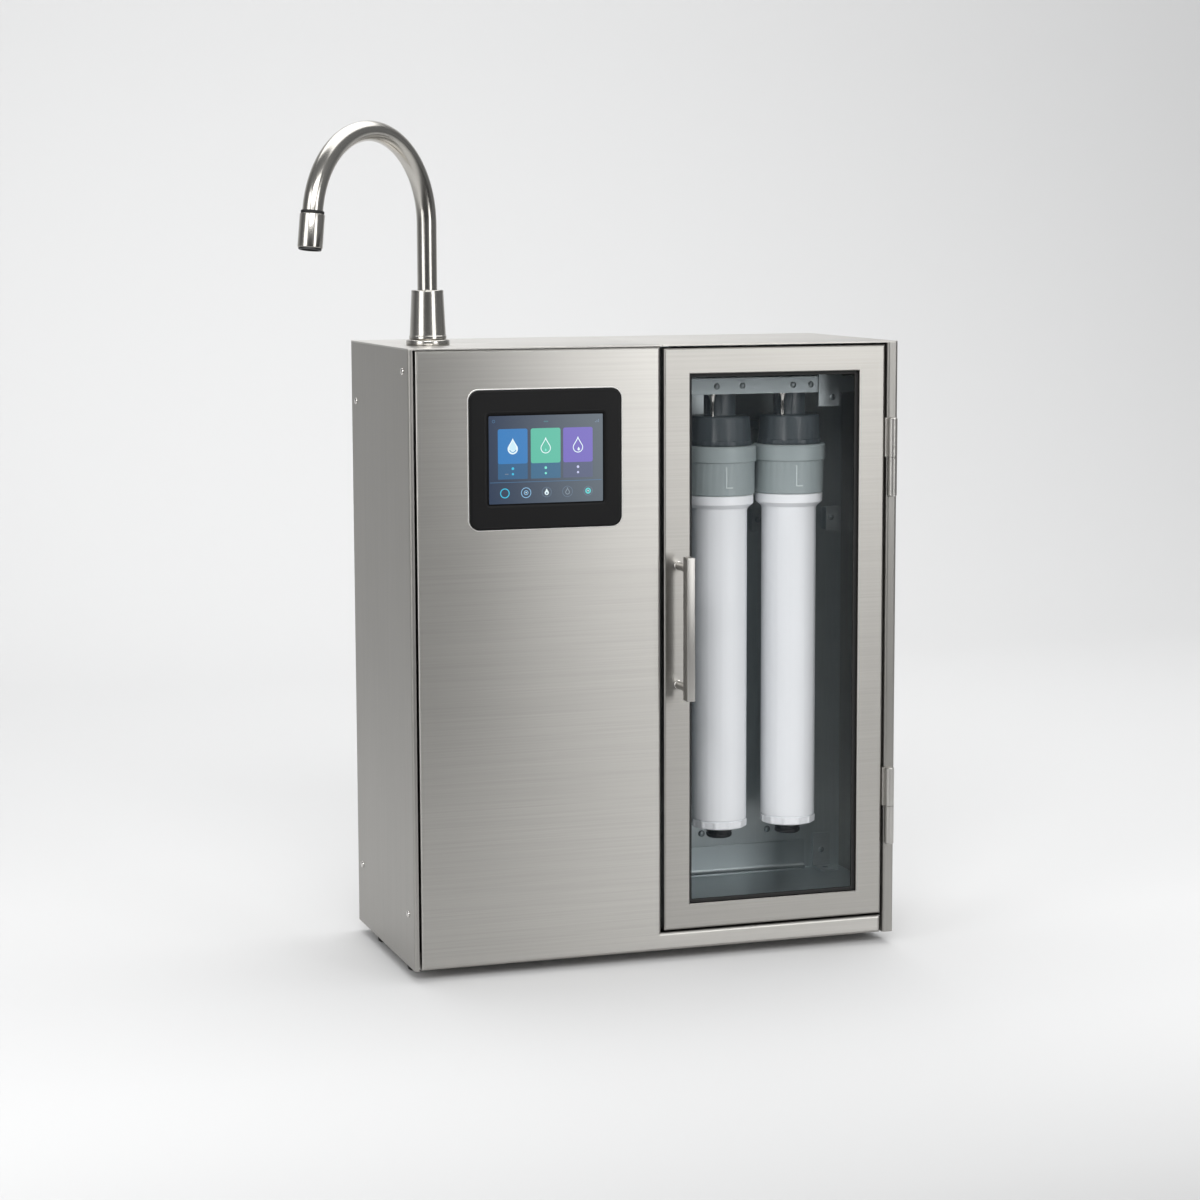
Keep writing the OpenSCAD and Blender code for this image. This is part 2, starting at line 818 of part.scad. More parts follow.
module bay_tray() {
    c = [bay_y - cove_r, tray_z + cove_r];
    color(inner_steel) {
        slab([bay_l, tray_front, tray_z - sheet_t], [in_r, bay_y + sheet_t, tray_z]);
        slab([bay_l, tray_front, floor_z], [in_r - sheet_t, tray_front + sheet_t, tray_z - sheet_t]);
        slab([bay_l, bay_y - sheet_t, tray_z + cove_r], [tray_r, bay_y, tray_z + tray_up]);
        translate([tray_r, 0, 0]) rotate([90, 0, -90]) mirror([1, 0]) linear_extrude(tray_r - bay_l)
            difference() {
                translate([c.x, tray_z]) square([cove_r, cove_r]);
                translate(c) circle(cove_r - sheet_t);
                translate([c.x - over, tray_z + sheet_t]) square([over, cove_r]);
            }
    }
}

module filter_rail() {
    color(inner_steel) difference() {
        union() {
            slab([bay_l, rail_y, rail_z], [rail_r, rail_y + sheet_t, rail_z + rail_h]);
            slab([bay_l, rail_y, rail_z], [rail_r, rail_y + rail_depth, rail_z + sheet_t]);
            slab([bay_l, rail_y, rail_z], [bay_l + sheet_t, rail_y + rail_depth, rail_z + rail_h]);
        }
        for (x = rail_screw_xs) facing_back([x, rail_y - over, rail_z + rail_h / 2])
            cylinder(h = sheet_t + 2 * over, d = screw_shank_d);
    }
}

module rail_end_bracket() {
    lo_z = rail_z - bracket_down;
    hi_z = rail_z + rail_h + bracket_up;
    color(inner_steel) difference() {
        union() {
            slab([rail_r, rail_y - sheet_t, lo_z], [rail_r + bracket_plate, rail_y, hi_z]);
            slab([rail_r, rail_y, rail_z], [in_r, rail_y + sheet_t, rail_z + rail_h]);
            slab([in_r - sheet_t, rail_y, rail_z], [in_r, rail_y + bracket_flange, rail_z + rail_h]);
        }
        facing_back([bracket_screw.x, rail_y - sheet_t - over, bracket_screw.y])
            cylinder(h = 2 * sheet_t + 2 * over, d = screw_shank_d);
    }
}

module bay_brackets() {
    color(inner_steel) {
        for (x = tab_xs) difference() {
            union() {
                slab([x, bay_y - sheet_t, tab_z], [x + tab_w, bay_y, tab_z + tab_h]);
                slab([x, bay_y - tab_flange, tab_z], [x + sheet_t, bay_y, tab_z + tab_h]);
            }
            facing_front([x + tab_w / 2 + sheet_t, bay_y + over, tab_z + tab_h / 2])
                cylinder(h = sheet_t + 2 * over, d = screw_shank_d);
        }
        difference() {
            union() {
                slab([corner_x, bay_y - sheet_t, tray_z],
                     [corner_x + corner_size.x, bay_y, tray_z + corner_size.z]);
                slab([corner_x, bay_y - corner_size.y, tray_z],
                     [corner_x + corner_size.x, bay_y, tray_z + sheet_t]);
            }
            facing_front([corner_x + corner_size.x / 2, bay_y + over, tray_z + corner_size.z / 2])
                cylinder(h = sheet_t + 2 * over, d = screw_shank_d);
            translate([corner_x + corner_size.x / 2, bay_y - corner_size.y / 2, tray_z - over])
                cylinder(h = sheet_t + 2 * over, d = screw_shank_d);
        }
    }
}

module side_screws() {
    shank = sheet_t + 2;
    color(bright) for (p = side_screw_yz) {
        translate([x_l, p.x, p.y]) rotate([0, -90, 0]) screw(shank);
        translate([x_r, p.x, p.y]) rotate([0, 90, 0]) screw(shank);
    }
}

module bay_screws() {
    color(bright) {
        for (x = rail_screw_xs) facing_front([x, rail_y, rail_z + rail_h / 2]) screw(sheet_t);
        facing_front([bracket_screw.x, rail_y - sheet_t, bracket_screw.y]) screw(2 * sheet_t);
        for (x = tab_xs) facing_front([x + tab_w / 2 + sheet_t, bay_y - sheet_t, tab_z + tab_h / 2])
            screw(sheet_t);
        facing_front([corner_x + corner_size.x / 2, bay_y - sheet_t, tray_z + corner_size.z / 2])
            screw(sheet_t);
        translate([corner_x + corner_size.x / 2, bay_y - corner_size.y / 2, tray_z + sheet_t])
            screw(sheet_t);
    }
}

// Door

module door_frame() {
    lo = [door_l, door_z0];
    hi = [door_r, door_z1];
    wall = [sheet_t, sheet_t];
    c = lip_chamfer;
    color(steel) difference() {
        union() {
            difference() {
                pan(lo, hi, y_f, door_t, frame_r);
                pan(lo + wall, hi - wall, y_f + sheet_t, door_t, frame_r - sheet_t / 2);
            }
            slab([open_l - sheet_t, y_f + sheet_t / 2, open_z0 - sheet_t],
                 [open_r + sheet_t, gasket_y, open_z1 + sheet_t]);
        }
        slab([open_l, y_f - over, open_z0], [open_r, gasket_y + over, open_z1]);
        hull() {
            slab([open_l - c, y_f - over, open_z0 - c], [open_r + c, y_f, open_z1 + c]);
            slab([open_l, y_f, open_z0], [open_r, y_f + c, open_z1]);
        }
    }
}

module door_gasket() {
    seat = glass_lap + gasket_show;
    color(black) ring_slab([open_l - glass_lap, gasket_y, open_z0 - glass_lap],
                           [open_r + glass_lap, glass_y, open_z1 + glass_lap], seat);
}

module door_glass() {
    color(clear_tint) slab([open_l - glass_lap, glass_y, open_z0 - glass_lap],
                           [open_r + glass_lap, retainer_y, open_z1 + glass_lap]);
}

module glass_retainer() {
    lo = [door_l + sheet_t, retainer_y, door_z0 + sheet_t];
    hi = [door_r - sheet_t, retainer_y + sheet_t, door_z1 - sheet_t];
    color(inner_steel) ring_slab(lo, hi, min(stile_w, door_rail_w) - sheet_t - 1);
}

module handle_bar() {
    color(bright) translate([0, 0, handle_z - handle_l / 2]) linear_extrude(handle_l)
        round_rect([handle_x - handle_w / 2, bar_y - handle_t], [handle_x + handle_w / 2, bar_y], handle_r);
}

module handle_posts() {
    color(bright) for (s = [-1, 1])
        facing_front([handle_x, y_f, handle_z + s * handle_pitch / 2])
            cylinder(h = handle_stand, d = handle_post_d);
}

// Barrel of one hinge half, from z = 0 to h, blind at the far end
module barrel(h, bore) {
    c = barrel_chamfer;
    rotate_extrude() polygon([
        [bore, 0], [barrel_r, 0], [barrel_r, h - c], [barrel_r - c, h], [0, h], [0, h - hinge_end],
        [bore, h - hinge_end]
    ]);
}

module hinge_post_barrels() {
    half = (hinge_l - hinge_clear) / 2;
    pad = barrel_r - 1;
    color(bright) for (z = hinge_zs) difference() {
        union() {
            translate([hinge_x, hinge_y, z - hinge_clear / 2]) mirror([0, 0, 1]) barrel(half, pin_r);
            slab([hinge_x - pad, hinge_y + pin_r, z - hinge_l / 2 + barrel_chamfer],
                 [hinge_x + pad, y_f, z - hinge_clear / 2]);
        }
        translate([hinge_x, hinge_y, z - hinge_l / 2 + hinge_end]) cylinder(h = half, r = pin_r);
    }
}

module hinge_door_barrels() {
    half = (hinge_l - hinge_clear) / 2;
    web_y = hinge_y + barrel_r;
    bore = pin_r + run_clear;
    color(bright) for (z = hinge_zs) difference() {
        union() {
            translate([hinge_x, hinge_y, z + hinge_clear / 2]) barrel(half, bore);
            slab([door_r, web_y - leaf_t, z + hinge_clear / 2], [hinge_x, web_y, z + half]);
            slab([door_r, web_y - leaf_t, z + hinge_clear / 2],
                 [door_r + leaf_t, y_f + leaf_reach, z + half]);
        }
        translate([hinge_x, hinge_y, z]) cylinder(h = half - hinge_end + hinge_clear / 2, r = bore);
    }
}

module hinge_pins() {
    len = hinge_l - 2 * hinge_end;
    color(bright) for (z = hinge_zs)
        translate([hinge_x, hinge_y, z - hinge_l / 2 + hinge_end]) cylinder(h = len - 0.5, r = pin_r);
}

module door_catch() {
    lo = [bay_l, door_back, handle_z - catch_size.z / 2];
    color(charcoal) slab(lo, lo + catch_size);
}

module catch_plate() {
    lo = [door_l + 2 * sheet_t, retainer_y + sheet_t, handle_z - catch_size.z / 2];
    color(bright) slab(lo, [lo.x + catch_size.x, door_back - catch_gap, lo.z + catch_size.z]);
}

// Faucet

module faucet_flange() {
    color(bright) translate([faucet_x, faucet_y, z_t]) rotate_extrude() {
        translate([shank_d / 2 + fit, 0]) square([flange_d / 2 - shank_d / 2 - fit, flange_h - body_r]);
        translate([shank_d / 2 + fit, 0]) square([flange_d / 2 - shank_d / 2 - fit - body_r, flange_h]);
        translate([flange_d / 2 - body_r, flange_h - body_r]) circle(body_r);
    }
}

module faucet_body() {
    r1 = body_d1 / 2;
    r2 = body_d2 / 2;
    bore = tube_r + run_clear;
    seat = tube_r + bush_t;
    color(bright) translate([faucet_x, faucet_y, body_z]) difference() {
        rotate_extrude() {
            polygon([[0, 0], [r1, 0], [r2, body_h - body_r], [0, body_h - body_r]]);
            translate([0, body_h - 2 * body_r]) square([r2 - body_r, 2 * body_r]);
            translate([r2 - body_r, body_h - body_r]) circle(body_r);
        }
        translate([0, 0, bush_h]) cylinder(h = body_h, r = bore);
        translate([0, 0, bush_h]) cylinder(h = bush_h, r = seat);
        translate([0, 0, -over]) cylinder(h = body_h, r = shank_bore);
    }
}

module faucet_shank() {
    color(bright) translate([faucet_x, faucet_y, z_t - shank_l])
        tube(shank_d / 2, shank_bore, shank_l + flange_h);
}

module faucet_lock_nut() {
    flats = shank_d + 12;
    color(brass) translate([faucet_x, faucet_y, in_t - lock_nut_h]) difference() {
        cylinder(h = lock_nut_h, d = flats / cos(30), $fn = 6);
        translate([0, 0, -over]) cylinder(h = lock_nut_h + 2 * over, d = shank_d + 2 * run_clear);
    }
}

module spout_bush() {
    color(black) translate([faucet_x, faucet_y, body_z + bush_h])
        tube(tube_r + bush_t, tube_r + run_clear, bush_h);
}

// Puts children at the spout's end, with +Z pointing the way the water leaves
module at_spout_end() {
    translate([faucet_x, faucet_y, spout_z]) rotate([0, 0, 180 + spout_turn])
        translate([spout_r, 0, 0]) rotate([0, spout_sweep - 180, 0]) translate([spout_r, 0, 0])
            rotate([180, 0, 0]) children();
}

module spout_tube() {
    low = body_z + bush_h + 0.5 - spout_z;
    bore = tube_r - tube_wall;
    color(bright) translate([faucet_x, faucet_y, spout_z]) rotate([0, 0, 180 + spout_turn]) {
        translate([0, 0, low]) tube(tube_r, bore, -low);
        translate([spout_r, 0, 0]) rotate([90, 0, 0]) rotate([0, 0, 180])
            rotate_extrude(angle = -spout_sweep) translate([spout_r, 0]) annulus(tube_r, bore);
    }
}

module nozzle_ring() {
    color(black) at_spout_end() tube(nozzle_ring_d / 2, tube_r - tube_wall, nozzle_ring_h);
}

module nozzle() {
    r = nozzle_d / 2;
    bore = r - 1.5;
    edge = 1;
    top = 4;
    color(bright) at_spout_end() translate([0, 0, nozzle_ring_h]) rotate_extrude() polygon([
        [tube_r - tube_wall, 0], [r - edge, 0], [r, edge], [r, nozzle_l - edge], [r - edge / 2, nozzle_l],
        [bore, nozzle_l], [bore, top], [tube_r - tube_wall, top]
    ]);
}

module aerator() {
    bore = nozzle_d / 2 - 1.5;
    recess = 2;
    thick = 10;
    holes = 6;
    color(charcoal) at_spout_end() translate([0, 0, nozzle_ring_h + nozzle_l - recess - thick]) difference() {
        cylinder(h = thick, r = bore - run_clear);
        for (i = [0:holes - 1]) rotate([0, 0, i * 360 / holes]) translate([bore / 2, 0, -over])
            cylinder(h = thick + 2 * over, r = bore / 6);
    }
}

// Screen

// Slab of the bezel's outline, drawn in by inset, standing out from the panel to a height
module bezel_layer(inset, height) {
    lo = [bezel_x0 + inset, bezel_z0 + inset];
    hi = [bezel_x1 - inset, bezel_z1 - inset];
    facing_front([0, y_f, 0]) linear_extrude(height) round_rect(lo, hi, bezel_r - inset, $fn = 32);
}

module screen_bezel() {
    half = [view_w / 2, 0, view_h / 2];
    color(black) difference() {
        hull() {
            bezel_layer(0, bezel_t - bezel_edge);
            bezel_layer(bezel_edge * 0.3, bezel_t - bezel_edge * 0.3);
            bezel_layer(bezel_edge, bezel_t);
        }
        slab([screen_x, y_f - bezel_t - over, screen_z] - half, [screen_x, y_f + over, screen_z] + half);
    }
}

module screen_display() {
    half = [view_w / 2, 0, view_h / 2];
    color(screen_blue) slab([screen_x, y_f - bezel_t + view_recess, screen_z] - half,
                            [screen_x, y_f, screen_z] + half);
}

module screen_housing() {
    half = [housing_size.x / 2, 0, housing_size.z / 2];
    rim = 12;
    neck = 16;
    color(charcoal) difference() {
        slab([screen_x, y_f, screen_z] - half, [screen_x, y_f + housing_size.y, screen_z] + half);
        ring_slab([screen_x, y_f + neck, screen_z] - half - [over, 0, over],
                  [screen_x, y_f + housing_size.y + over, screen_z] + half + [over, 0, over], rim + over);
    }
}

// Filters

module filter_head(x) {
    r = head_d / 2;
    rim_h = 5;
    taper = 2;
    edge_h = 3;
    grip_in = 1.8;
    color(charcoal) translate([x, filter_y, 0]) difference() {
        union() {
            difference() {
                rotate_extrude() polygon([
                    [0, spigot_z], [spigot_r, spigot_z], [spigot_r, head_z0], [r, head_z0],
                    [r, head_z0 + rim_h], [r - taper, head_z1 - edge_h], [head_top_d / 2, head_z1],
                    [neck_d / 2, head_z1], [neck_d / 2, rail_z], [0, rail_z]
                ]);
                for (i = [0:grips - 1]) rotate([0, 0, (i + 0.5) * 360 / grips])
                    translate([r - grip_in, -grip_w / 2, head_z0 + rim_h]) cube([r, grip_w, head_h]);
            }
            intersection() {
                translate([0, 0, lug_z - lug_h]) cylinder(h = lug_h, r = spigot_r + lug_out);
                translate([-head_d / 2, -lug_w / 2, lug_z - lug_h]) cube([head_d, lug_w, lug_h]);
            }
            for (s = [-1, 1]) facing_back([s * port_pitch / 2, 0, port_z])
                cylinder(h = port_y - filter_y, r = port_r);
        }
        for (s = [-1, 1]) facing_back([s * port_pitch / 2, r / 2, port_z])
            cylinder(h = port_y - filter_y, r = port_bore);
        translate([0, 0, spigot_z - over]) cylinder(h = spigot_l - 2, r = spigot_r - 5);
    }
}

module filter_collar(x) {
    r = collar_d / 2;
    low_r = collar_low_d / 2;
    mouth_r = spigot_r + twist_clear;
    edge = 1;
    mark_z = collar_z - mark_size.z - 4;
    entry = lug_w + 2 * twist_clear;
    color(grey) translate([x, filter_y, 0]) difference() {
        union() {
            rotate_extrude() polygon([
                [0, collar_z0], [low_r, collar_z0], [low_r, collar_z], [r - edge, collar_z],
                [r, collar_z + edge], [r, collar_z1 - edge], [r - edge, collar_z1], [0, collar_z1]
            ]);
            intersection() {
                translate([0, 0, mark_z]) cylinder(h = mark_size.z, r = low_r + mark_size.y);
                union() {
                    translate([-mark_size.x / 2, -r, mark_z]) cube([mark_line, r, mark_size.z]);
                    translate([-mark_size.x / 2, -r, mark_z]) cube([mark_size.x, r, mark_line]);
                }
            }
        }
        translate([0, 0, collar_z0 - over])
            cylinder(h = lug_z + twist_clear - collar_z0 + over, r = bay_bore_r);
        translate([0, 0, collar_z]) cylinder(h = collar_h + over, r = mouth_r);
        intersection() {
            translate([0, 0, collar_z]) cylinder(h = collar_h + over, r = bay_bore_r);
            translate([-entry / 2, -r, collar_z]) cube([entry, 2 * r, collar_h + over]);
        }
    }
}

module cartridge(x) {
    r = cart_d / 2;
    rib = 1;
    rib_w = 3;
    flare = 4;
    color(white) translate([x, filter_y, 0]) difference() {
        union() {
            rotate_extrude() polygon([
                [0, ring_z0], [r - rib, ring_z0], [r, ring_z0 + rib], [r, cart_z0 - rib],
                [r - rib, cart_z0 - rib], [r - rib, cart_z0], [r, cart_z0], [r, cart_z1 - flare],
                [cap_d / 2, cart_z1], [cap_d / 2, collar_z0], [cart_neck_r, collar_z0],
                [cart_neck_r, cart_neck_z], [0, cart_neck_z]
            ]);
            for (i = [0:ribs - 1]) rotate([0, 0, i * 360 / ribs])
                translate([r - 2 * rib, -rib_w / 2, ring_z0 + rib]) cube([3 * rib, rib_w, ring_h]);
        }
        translate([0, 0, cart_z0 + cart_wall]) cylinder(h = head_z0 - cart_z0, r = cart_bore_r);
    }
}

module filter_element(x) {
    z0 = cart_z0 + cart_wall;
    z1 = cart_z1;
    color(charcoal) translate([x, filter_y, 0]) rotate_extrude() polygon([
        [element_bore / 2, z0], [element_d / 2 + 2, z0], [element_d / 2 + 2, z0 + element_cap],
        [element_d / 2, z0 + element_cap], [element_d / 2, z1 - element_cap],
        [element_d / 2 + 2, z1 - element_cap], [element_d / 2 + 2, z1], [element_bore / 2, z1]
    ]);
}

module filter_plug(x) {
    r = plug_d / 2;
    z0 = ring_z0 - plug_h;
    edge = 1.5;
    slot = [4, 14, 3];
    color(black) translate([x, filter_y, 0]) difference() {
        rotate_extrude() polygon([[0, z0], [r - edge, z0], [r, z0 + edge], [r, ring_z0], [0, ring_z0]]);
        translate([-slot.x / 2, -slot.y / 2, z0 - over]) cube(slot + [0, 0, over]);
    }
}

module left_filter_head() { filter_head(filter_xs[0]); }
module left_filter_collar() { filter_collar(filter_xs[0]); }
module left_cartridge() { cartridge(filter_xs[0]); }
module left_filter_element() { filter_element(filter_xs[0]); }
module left_filter_plug() { filter_plug(filter_xs[0]); }
module right_filter_head() { filter_head(filter_xs[1]); }
module right_filter_collar() { filter_collar(filter_xs[1]); }
module right_cartridge() { cartridge(filter_xs[1]); }
module right_filter_element() { filter_element(filter_xs[1]); }
module right_filter_plug() { filter_plug(filter_xs[1]); }

module head_hangers() {
    color(bright) for (x = filter_xs, s = [-1, 1])
        translate([x + s * hanger_at.x, filter_y + s * hanger_at.y, head_z1]) {
            cylinder(h = neck_h, d = hanger_d);
            translate([0, 0, neck_h - washer_t]) cylinder(h = washer_t, d = washer_d);
        }
}

// Water works

module electrolysis_cell() {
    half = [cell_size.x / 2, cell_size.y / 2];
    grooves = 6;
    groove = 3;
    step = cell_size.y / (grooves + 1);
    color(white) difference() {
        union() {
            slab([cell_x - half.x, cell_y - half.y, cell_z], [cell_x + half.x, cell_y + half.y, cell_top]);
            for (s = [-1, 1]) translate([cell_x + s * cell_port_dx, cell_y, cell_top])
                cylinder(h = spigot_out, r = port_r);
            translate([cell_x + half.x, cell_y, cell_in_z]) rotate([0, 90, 0])
                cylinder(h = spigot_out, r = port_r);
        }
        for (i = [1:grooves], s = [-1, 1])
            translate([cell_x + s * half.x - groove / 2, cell_y - half.y + i * step - groove / 2,
                       cell_in_z + 2 * hose_d])
                cube([groove, groove, cell_top - cell_in_z]);
        for (s = [-1, 1]) translate([cell_x + s * cell_port_dx, cell_y, cell_top - spigot_out])
            cylinder(h = 2 * spigot_out + over, r = port_bore);
        translate([cell_x + half.x - spigot_out, cell_y, cell_in_z]) rotate([0, 90, 0])
            cylinder(h = 2 * spigot_out + over, r = port_bore);
    }
}

module cell_clamps() {
    half = [cell_size.x / 2 + clamp_over, cell_size.y / 2];
    rod_x = cell_size.x / 2 + clamp_over / 2;
    nut_h = 4;
    rod_in = 11;
    color(inner_steel) {
        for (s = [-1, 1]) {
            y = cell_y + s * (half.y + clamp_t / 2);
            slab([cell_x - half.x, y - clamp_t / 2, floor_z], [cell_x + half.x, y + clamp_t / 2, cell_top]);
        }
        for (sx = [-1, 1], z = [floor_z + rod_in, cell_top - rod_in]) {
            translate([cell_x + sx * rod_x, cell_y - half.y, z]) rotate([-90, 0, 0])
                cylinder(h = cell_size.y, d = min(rod_d, clamp_over - 2));
            for (y = [cell_y - half.y - clamp_t - nut_h, cell_y + half.y + clamp_t])
                translate([cell_x + sx * rod_x, y, z]) rotate([-90, 0, 0])
                    cylinder(h = nut_h, d = rod_d * 1.8, $fn = 6);
        }
    }
}

module inlet_valve() {
    half = [valve_size.x / 2, valve_size.y / 2, valve_size.z / 2];
    top = inlet_z + half.z;
    neck = in_b - valve_y - half.y;
    bore = port_bore;
    color(white) difference() {
        union() {
            slab([inlet_x, valve_y, inlet_z] - half, [inlet_x, valve_y, inlet_z] + half);
            facing_back([inlet_x, valve_y + half.y, inlet_z])
                cylinder(h = neck + sheet_t, r = inlet_r + shoulder);
            facing_back([inlet_x, in_b + sheet_t, inlet_z]) cylinder(h = inlet_l, r = inlet_r);
            facing_back([inlet_x, in_b - collar_t, inlet_z]) cylinder(h = collar_t, r = inlet_r + 6);
            translate([inlet_x, valve_y, top]) cylinder(h = spigot_out, r = port_r);
            translate([inlet_x + half.x, valve_y, inlet_z]) rotate([0, 90, 0])
                cylinder(h = coil_h, d = coil_d);
        }
        facing_back([inlet_x, valve_y, inlet_z]) cylinder(h = valve_size.y + neck + inlet_l + over, r = bore);
        translate([inlet_x, valve_y, inlet_z]) cylinder(h = valve_size.z + spigot_out, r = bore);
    }
}

module flow_sensor() {
    color(charcoal) translate([sensor_x, sensor_y, sensor_z]) rotate_extrude() polygon([
        [port_bore, 0], [port_r, 0], [port_r, 8], [sensor_d / 2, 8], [sensor_d / 2, sensor_l - 8],
        [port_r, sensor_l - 8], [port_r, sensor_l], [port_bore, sensor_l]
    ]);
}

module drain_fitting() {
    lock = drain_r + 5;
    neck = drain_in - collar_t;
    out = drain_in + sheet_t;
    nose = 2;
    tip = 4;
    color(charcoal) facing_back([drain_x, in_b - drain_in, drain_z]) rotate_extrude() polygon([
        [port_bore, 0], [port_r, 0], [port_r, neck], [lock, neck], [lock, drain_in],
        [drain_r + shoulder, drain_in], [drain_r + shoulder, out], [drain_r, out],
        [drain_r, out + drain_l - tip], [drain_r - nose, out + drain_l], [port_bore, out + drain_l]
    ]);
}

module water_hoses() {
    head_in = [filter_xs[0] - port_pitch / 2, port_y, port_z];
    link_a = [filter_xs[0] + port_pitch / 2, port_y, port_z];
    link_b = [filter_xs[1] - port_pitch / 2, port_y, port_z];
    head_out = [sensor_x, port_y, port_z];
    valve_top = [inlet_x, valve_y, inlet_z + valve_size.z / 2 + spigot_out];
    link_y = port_y + 2 * hose_bend;
    cell_end = [cell_x + cell_size.x / 2 + spigot_out, cell_y, cell_in_z];
    side_x = cell_end.x + 2 * hose_bend;
    alkaline = [cell_x - cell_port_dx, cell_y, cell_top + spigot_out];
    acid = [cell_x + cell_port_dx, cell_y, cell_top + spigot_out];
    shank_end = [faucet_x, faucet_y, z_t - shank_l];
    drain_end = [drain_x, in_b - drain_in, drain_z];
    color(hose_blue) {
        hose([valve_top, [inlet_x, valve_y, port_z], head_in]);
        hose([link_a, [link_a.x, link_y, port_z], [link_b.x, link_y, port_z], link_b]);
        hose([head_out, [sensor_x, sensor_y, port_z], [sensor_x, sensor_y, sensor_z + sensor_l]]);
        hose([[sensor_x, sensor_y, sensor_z], [sensor_x, sensor_y, low_run_z], [side_x, sensor_y, low_run_z],
              [side_x, cell_y, low_run_z], [side_x, cell_y, cell_in_z], cell_end]);
        hose([alkaline, [alkaline.x, cell_y, faucet_run_z], [alkaline.x, faucet_y, faucet_run_z],
              [faucet_x, faucet_y, faucet_run_z], shank_end]);
        hose([acid, [acid.x, cell_y, rise_z], [acid.x, drain_y, rise_z], [acid.x, drain_y, drain_z],
              drain_end]);
    }
}

// Electrics

module power_supply() {
    lo = [supply_x, in_b - supply_size.y, supply_z];
    slots = 8;
    slot_in = 12;
    slot_d = 3;
    pitch = supply_size.z / (slots + 2);
    color(inner_steel) difference() {
        slab(lo, [supply_x + supply_size.x, in_b, supply_z + supply_size.z]);
        for (i = [1:slots]) translate([lo.x + slot_in, lo.y - over, lo.z + (i + 0.5) * pitch])
            cube([supply_size.x - 2 * slot_in, slot_d + over, pitch / 3]);
    }
}

module control_board() {
    x1 = panel_r - standoff_h;
    x0 = x1 - board_size.x;
    lo = [x0, board_y, board_z];
    hi = [x1, board_y + board_size.y, board_z + board_size.z];
    post_d = 6;
    sink = [22, 30, 60];
    sink_at = [12, 65];
    relay = [16, 18, 28];
    relay_at = [14, 16];
    relay_step = 26;
    relays = 3;
    can_d = 14;
    can_l = 20;
    can_in = 24;
    can_ups = [75, 105];
    color(board_green) {
        slab(lo, hi);
        for (y = [lo.y + standoff_in, hi.y - standoff_in], z = [lo.z + standoff_in, hi.z - standoff_in])
            translate([x1, y, z]) rotate([0, 90, 0]) cylinder(h = standoff_h, d = post_d);
        translate([x0 - sink.x, lo.y + sink_at.x, lo.z + sink_at.y]) cube(sink);
        for (i = [0:relays - 1])
            translate([x0 - relay.x, lo.y + relay_at.x + i * relay_step, lo.z + relay_at.y]) cube(relay);
        for (up = can_ups) translate([x0, hi.y - can_in, lo.z + up]) rotate([0, -90, 0])
            cylinder(h = can_l, d = can_d);
    }
}

module mains_inlet() {
    half = [mains_size.x / 2, 0, mains_size.z / 2];
    body = mains_cut - [fit, 0, fit];
    deep = 24;
    wall = 2;
    web = 6;
    pin = [2, 10, 5];
    pin_step = 7;
    pin_low = 3;
    pin_high = 1;
    outer = in_b + sheet_t;
    frame = [switch_size.x / 2, 0, switch_size.z / 2];
    frame_in = switch_cut - [fit, 0, fit];
    window = [rocker_w / 2 + 2 * fit, 0, rocker_l / 2 + 2];
    color(black) {
        difference() {
            union() {
                slab([mains_x, outer, mains_z] - half, [mains_x, outer + mains_size.y, mains_z] + half);
                slab([mains_x, outer - deep, mains_z] - body, [mains_x, outer, mains_z] + body);
            }
            slab([mains_x, outer - deep + web, mains_z] - body + [wall, 0, wall],
                 [mains_x, outer + mains_size.y + over, mains_z] + body - [wall, 0, wall]);
        }
        for (i = [-1, 0, 1])
            translate([mains_x + i * pin_step - pin.x / 2, outer - deep + web,
                       mains_z + (i == 0 ? pin_high : -pin_low)]) cube(pin);
        difference() {
            union() {
                slab([switch_x, outer, mains_z] - frame, [switch_x, outer + switch_size.y, mains_z] + frame);
                slab([switch_x, outer - deep, mains_z] - frame_in, [switch_x, outer, mains_z] + frame_in);
            }
            slab([switch_x, outer - deep + web, mains_z] - window,
                 [switch_x, outer + switch_size.y + over, mains_z] + window);
            translate([switch_x - rocker_w / 2 - fit - trunnion_l, rocker_y, mains_z]) rotate([0, 90, 0])
                cylinder(h = rocker_w + 2 * fit + 2 * trunnion_l, d = trunnion_d + 2 * run_clear);
        }
    }
}

module power_rocker() {
    top = 4.5;
    dip = 2.5;
    deep = 6;
    span = rocker_l / 2;
    color(black) translate([switch_x, rocker_y, mains_z]) rotate([rocker_tip / 2, 0, 0]) {
        translate([-rocker_w / 2, 0, 0]) rotate([90, 0, 90]) linear_extrude(rocker_w) polygon([
            [-deep, -span / 2], [top, -span], [dip, 0], [top, span], [-deep, span / 2]
        ]);
        translate([-rocker_w / 2 - trunnion_l, 0, 0]) rotate([0, 90, 0])
            cylinder(h = rocker_w + 2 * trunnion_l, d = trunnion_d);
    }
}

base_pan();
feet();
left_side_panel();
right_side_panel();
back_panel();
top_panel();
bay_top_panel();
front_panel();
divider();
bay_back_panel();
bay_tray();
filter_rail();
rail_end_bracket();
bay_brackets();
side_screws();
bay_screws();
door_frame();
door_gasket();
door_glass();
glass_retainer();
handle_bar();
handle_posts();
hinge_post_barrels();
hinge_door_barrels();
hinge_pins();
door_catch();
catch_plate();
faucet_flange();
faucet_body();
faucet_shank();
faucet_lock_nut();
spout_bush();
spout_tube();
nozzle_ring();
nozzle();
aerator();
screen_bezel();
screen_display();
screen_housing();
left_filter_head();
left_filter_collar();
left_cartridge();
left_filter_element();
left_filter_plug();
right_filter_head();
right_filter_collar();
right_cartridge();
right_filter_element();
right_filter_plug();
head_hangers();
electrolysis_cell();
cell_clamps();
inlet_valve();
flow_sensor();
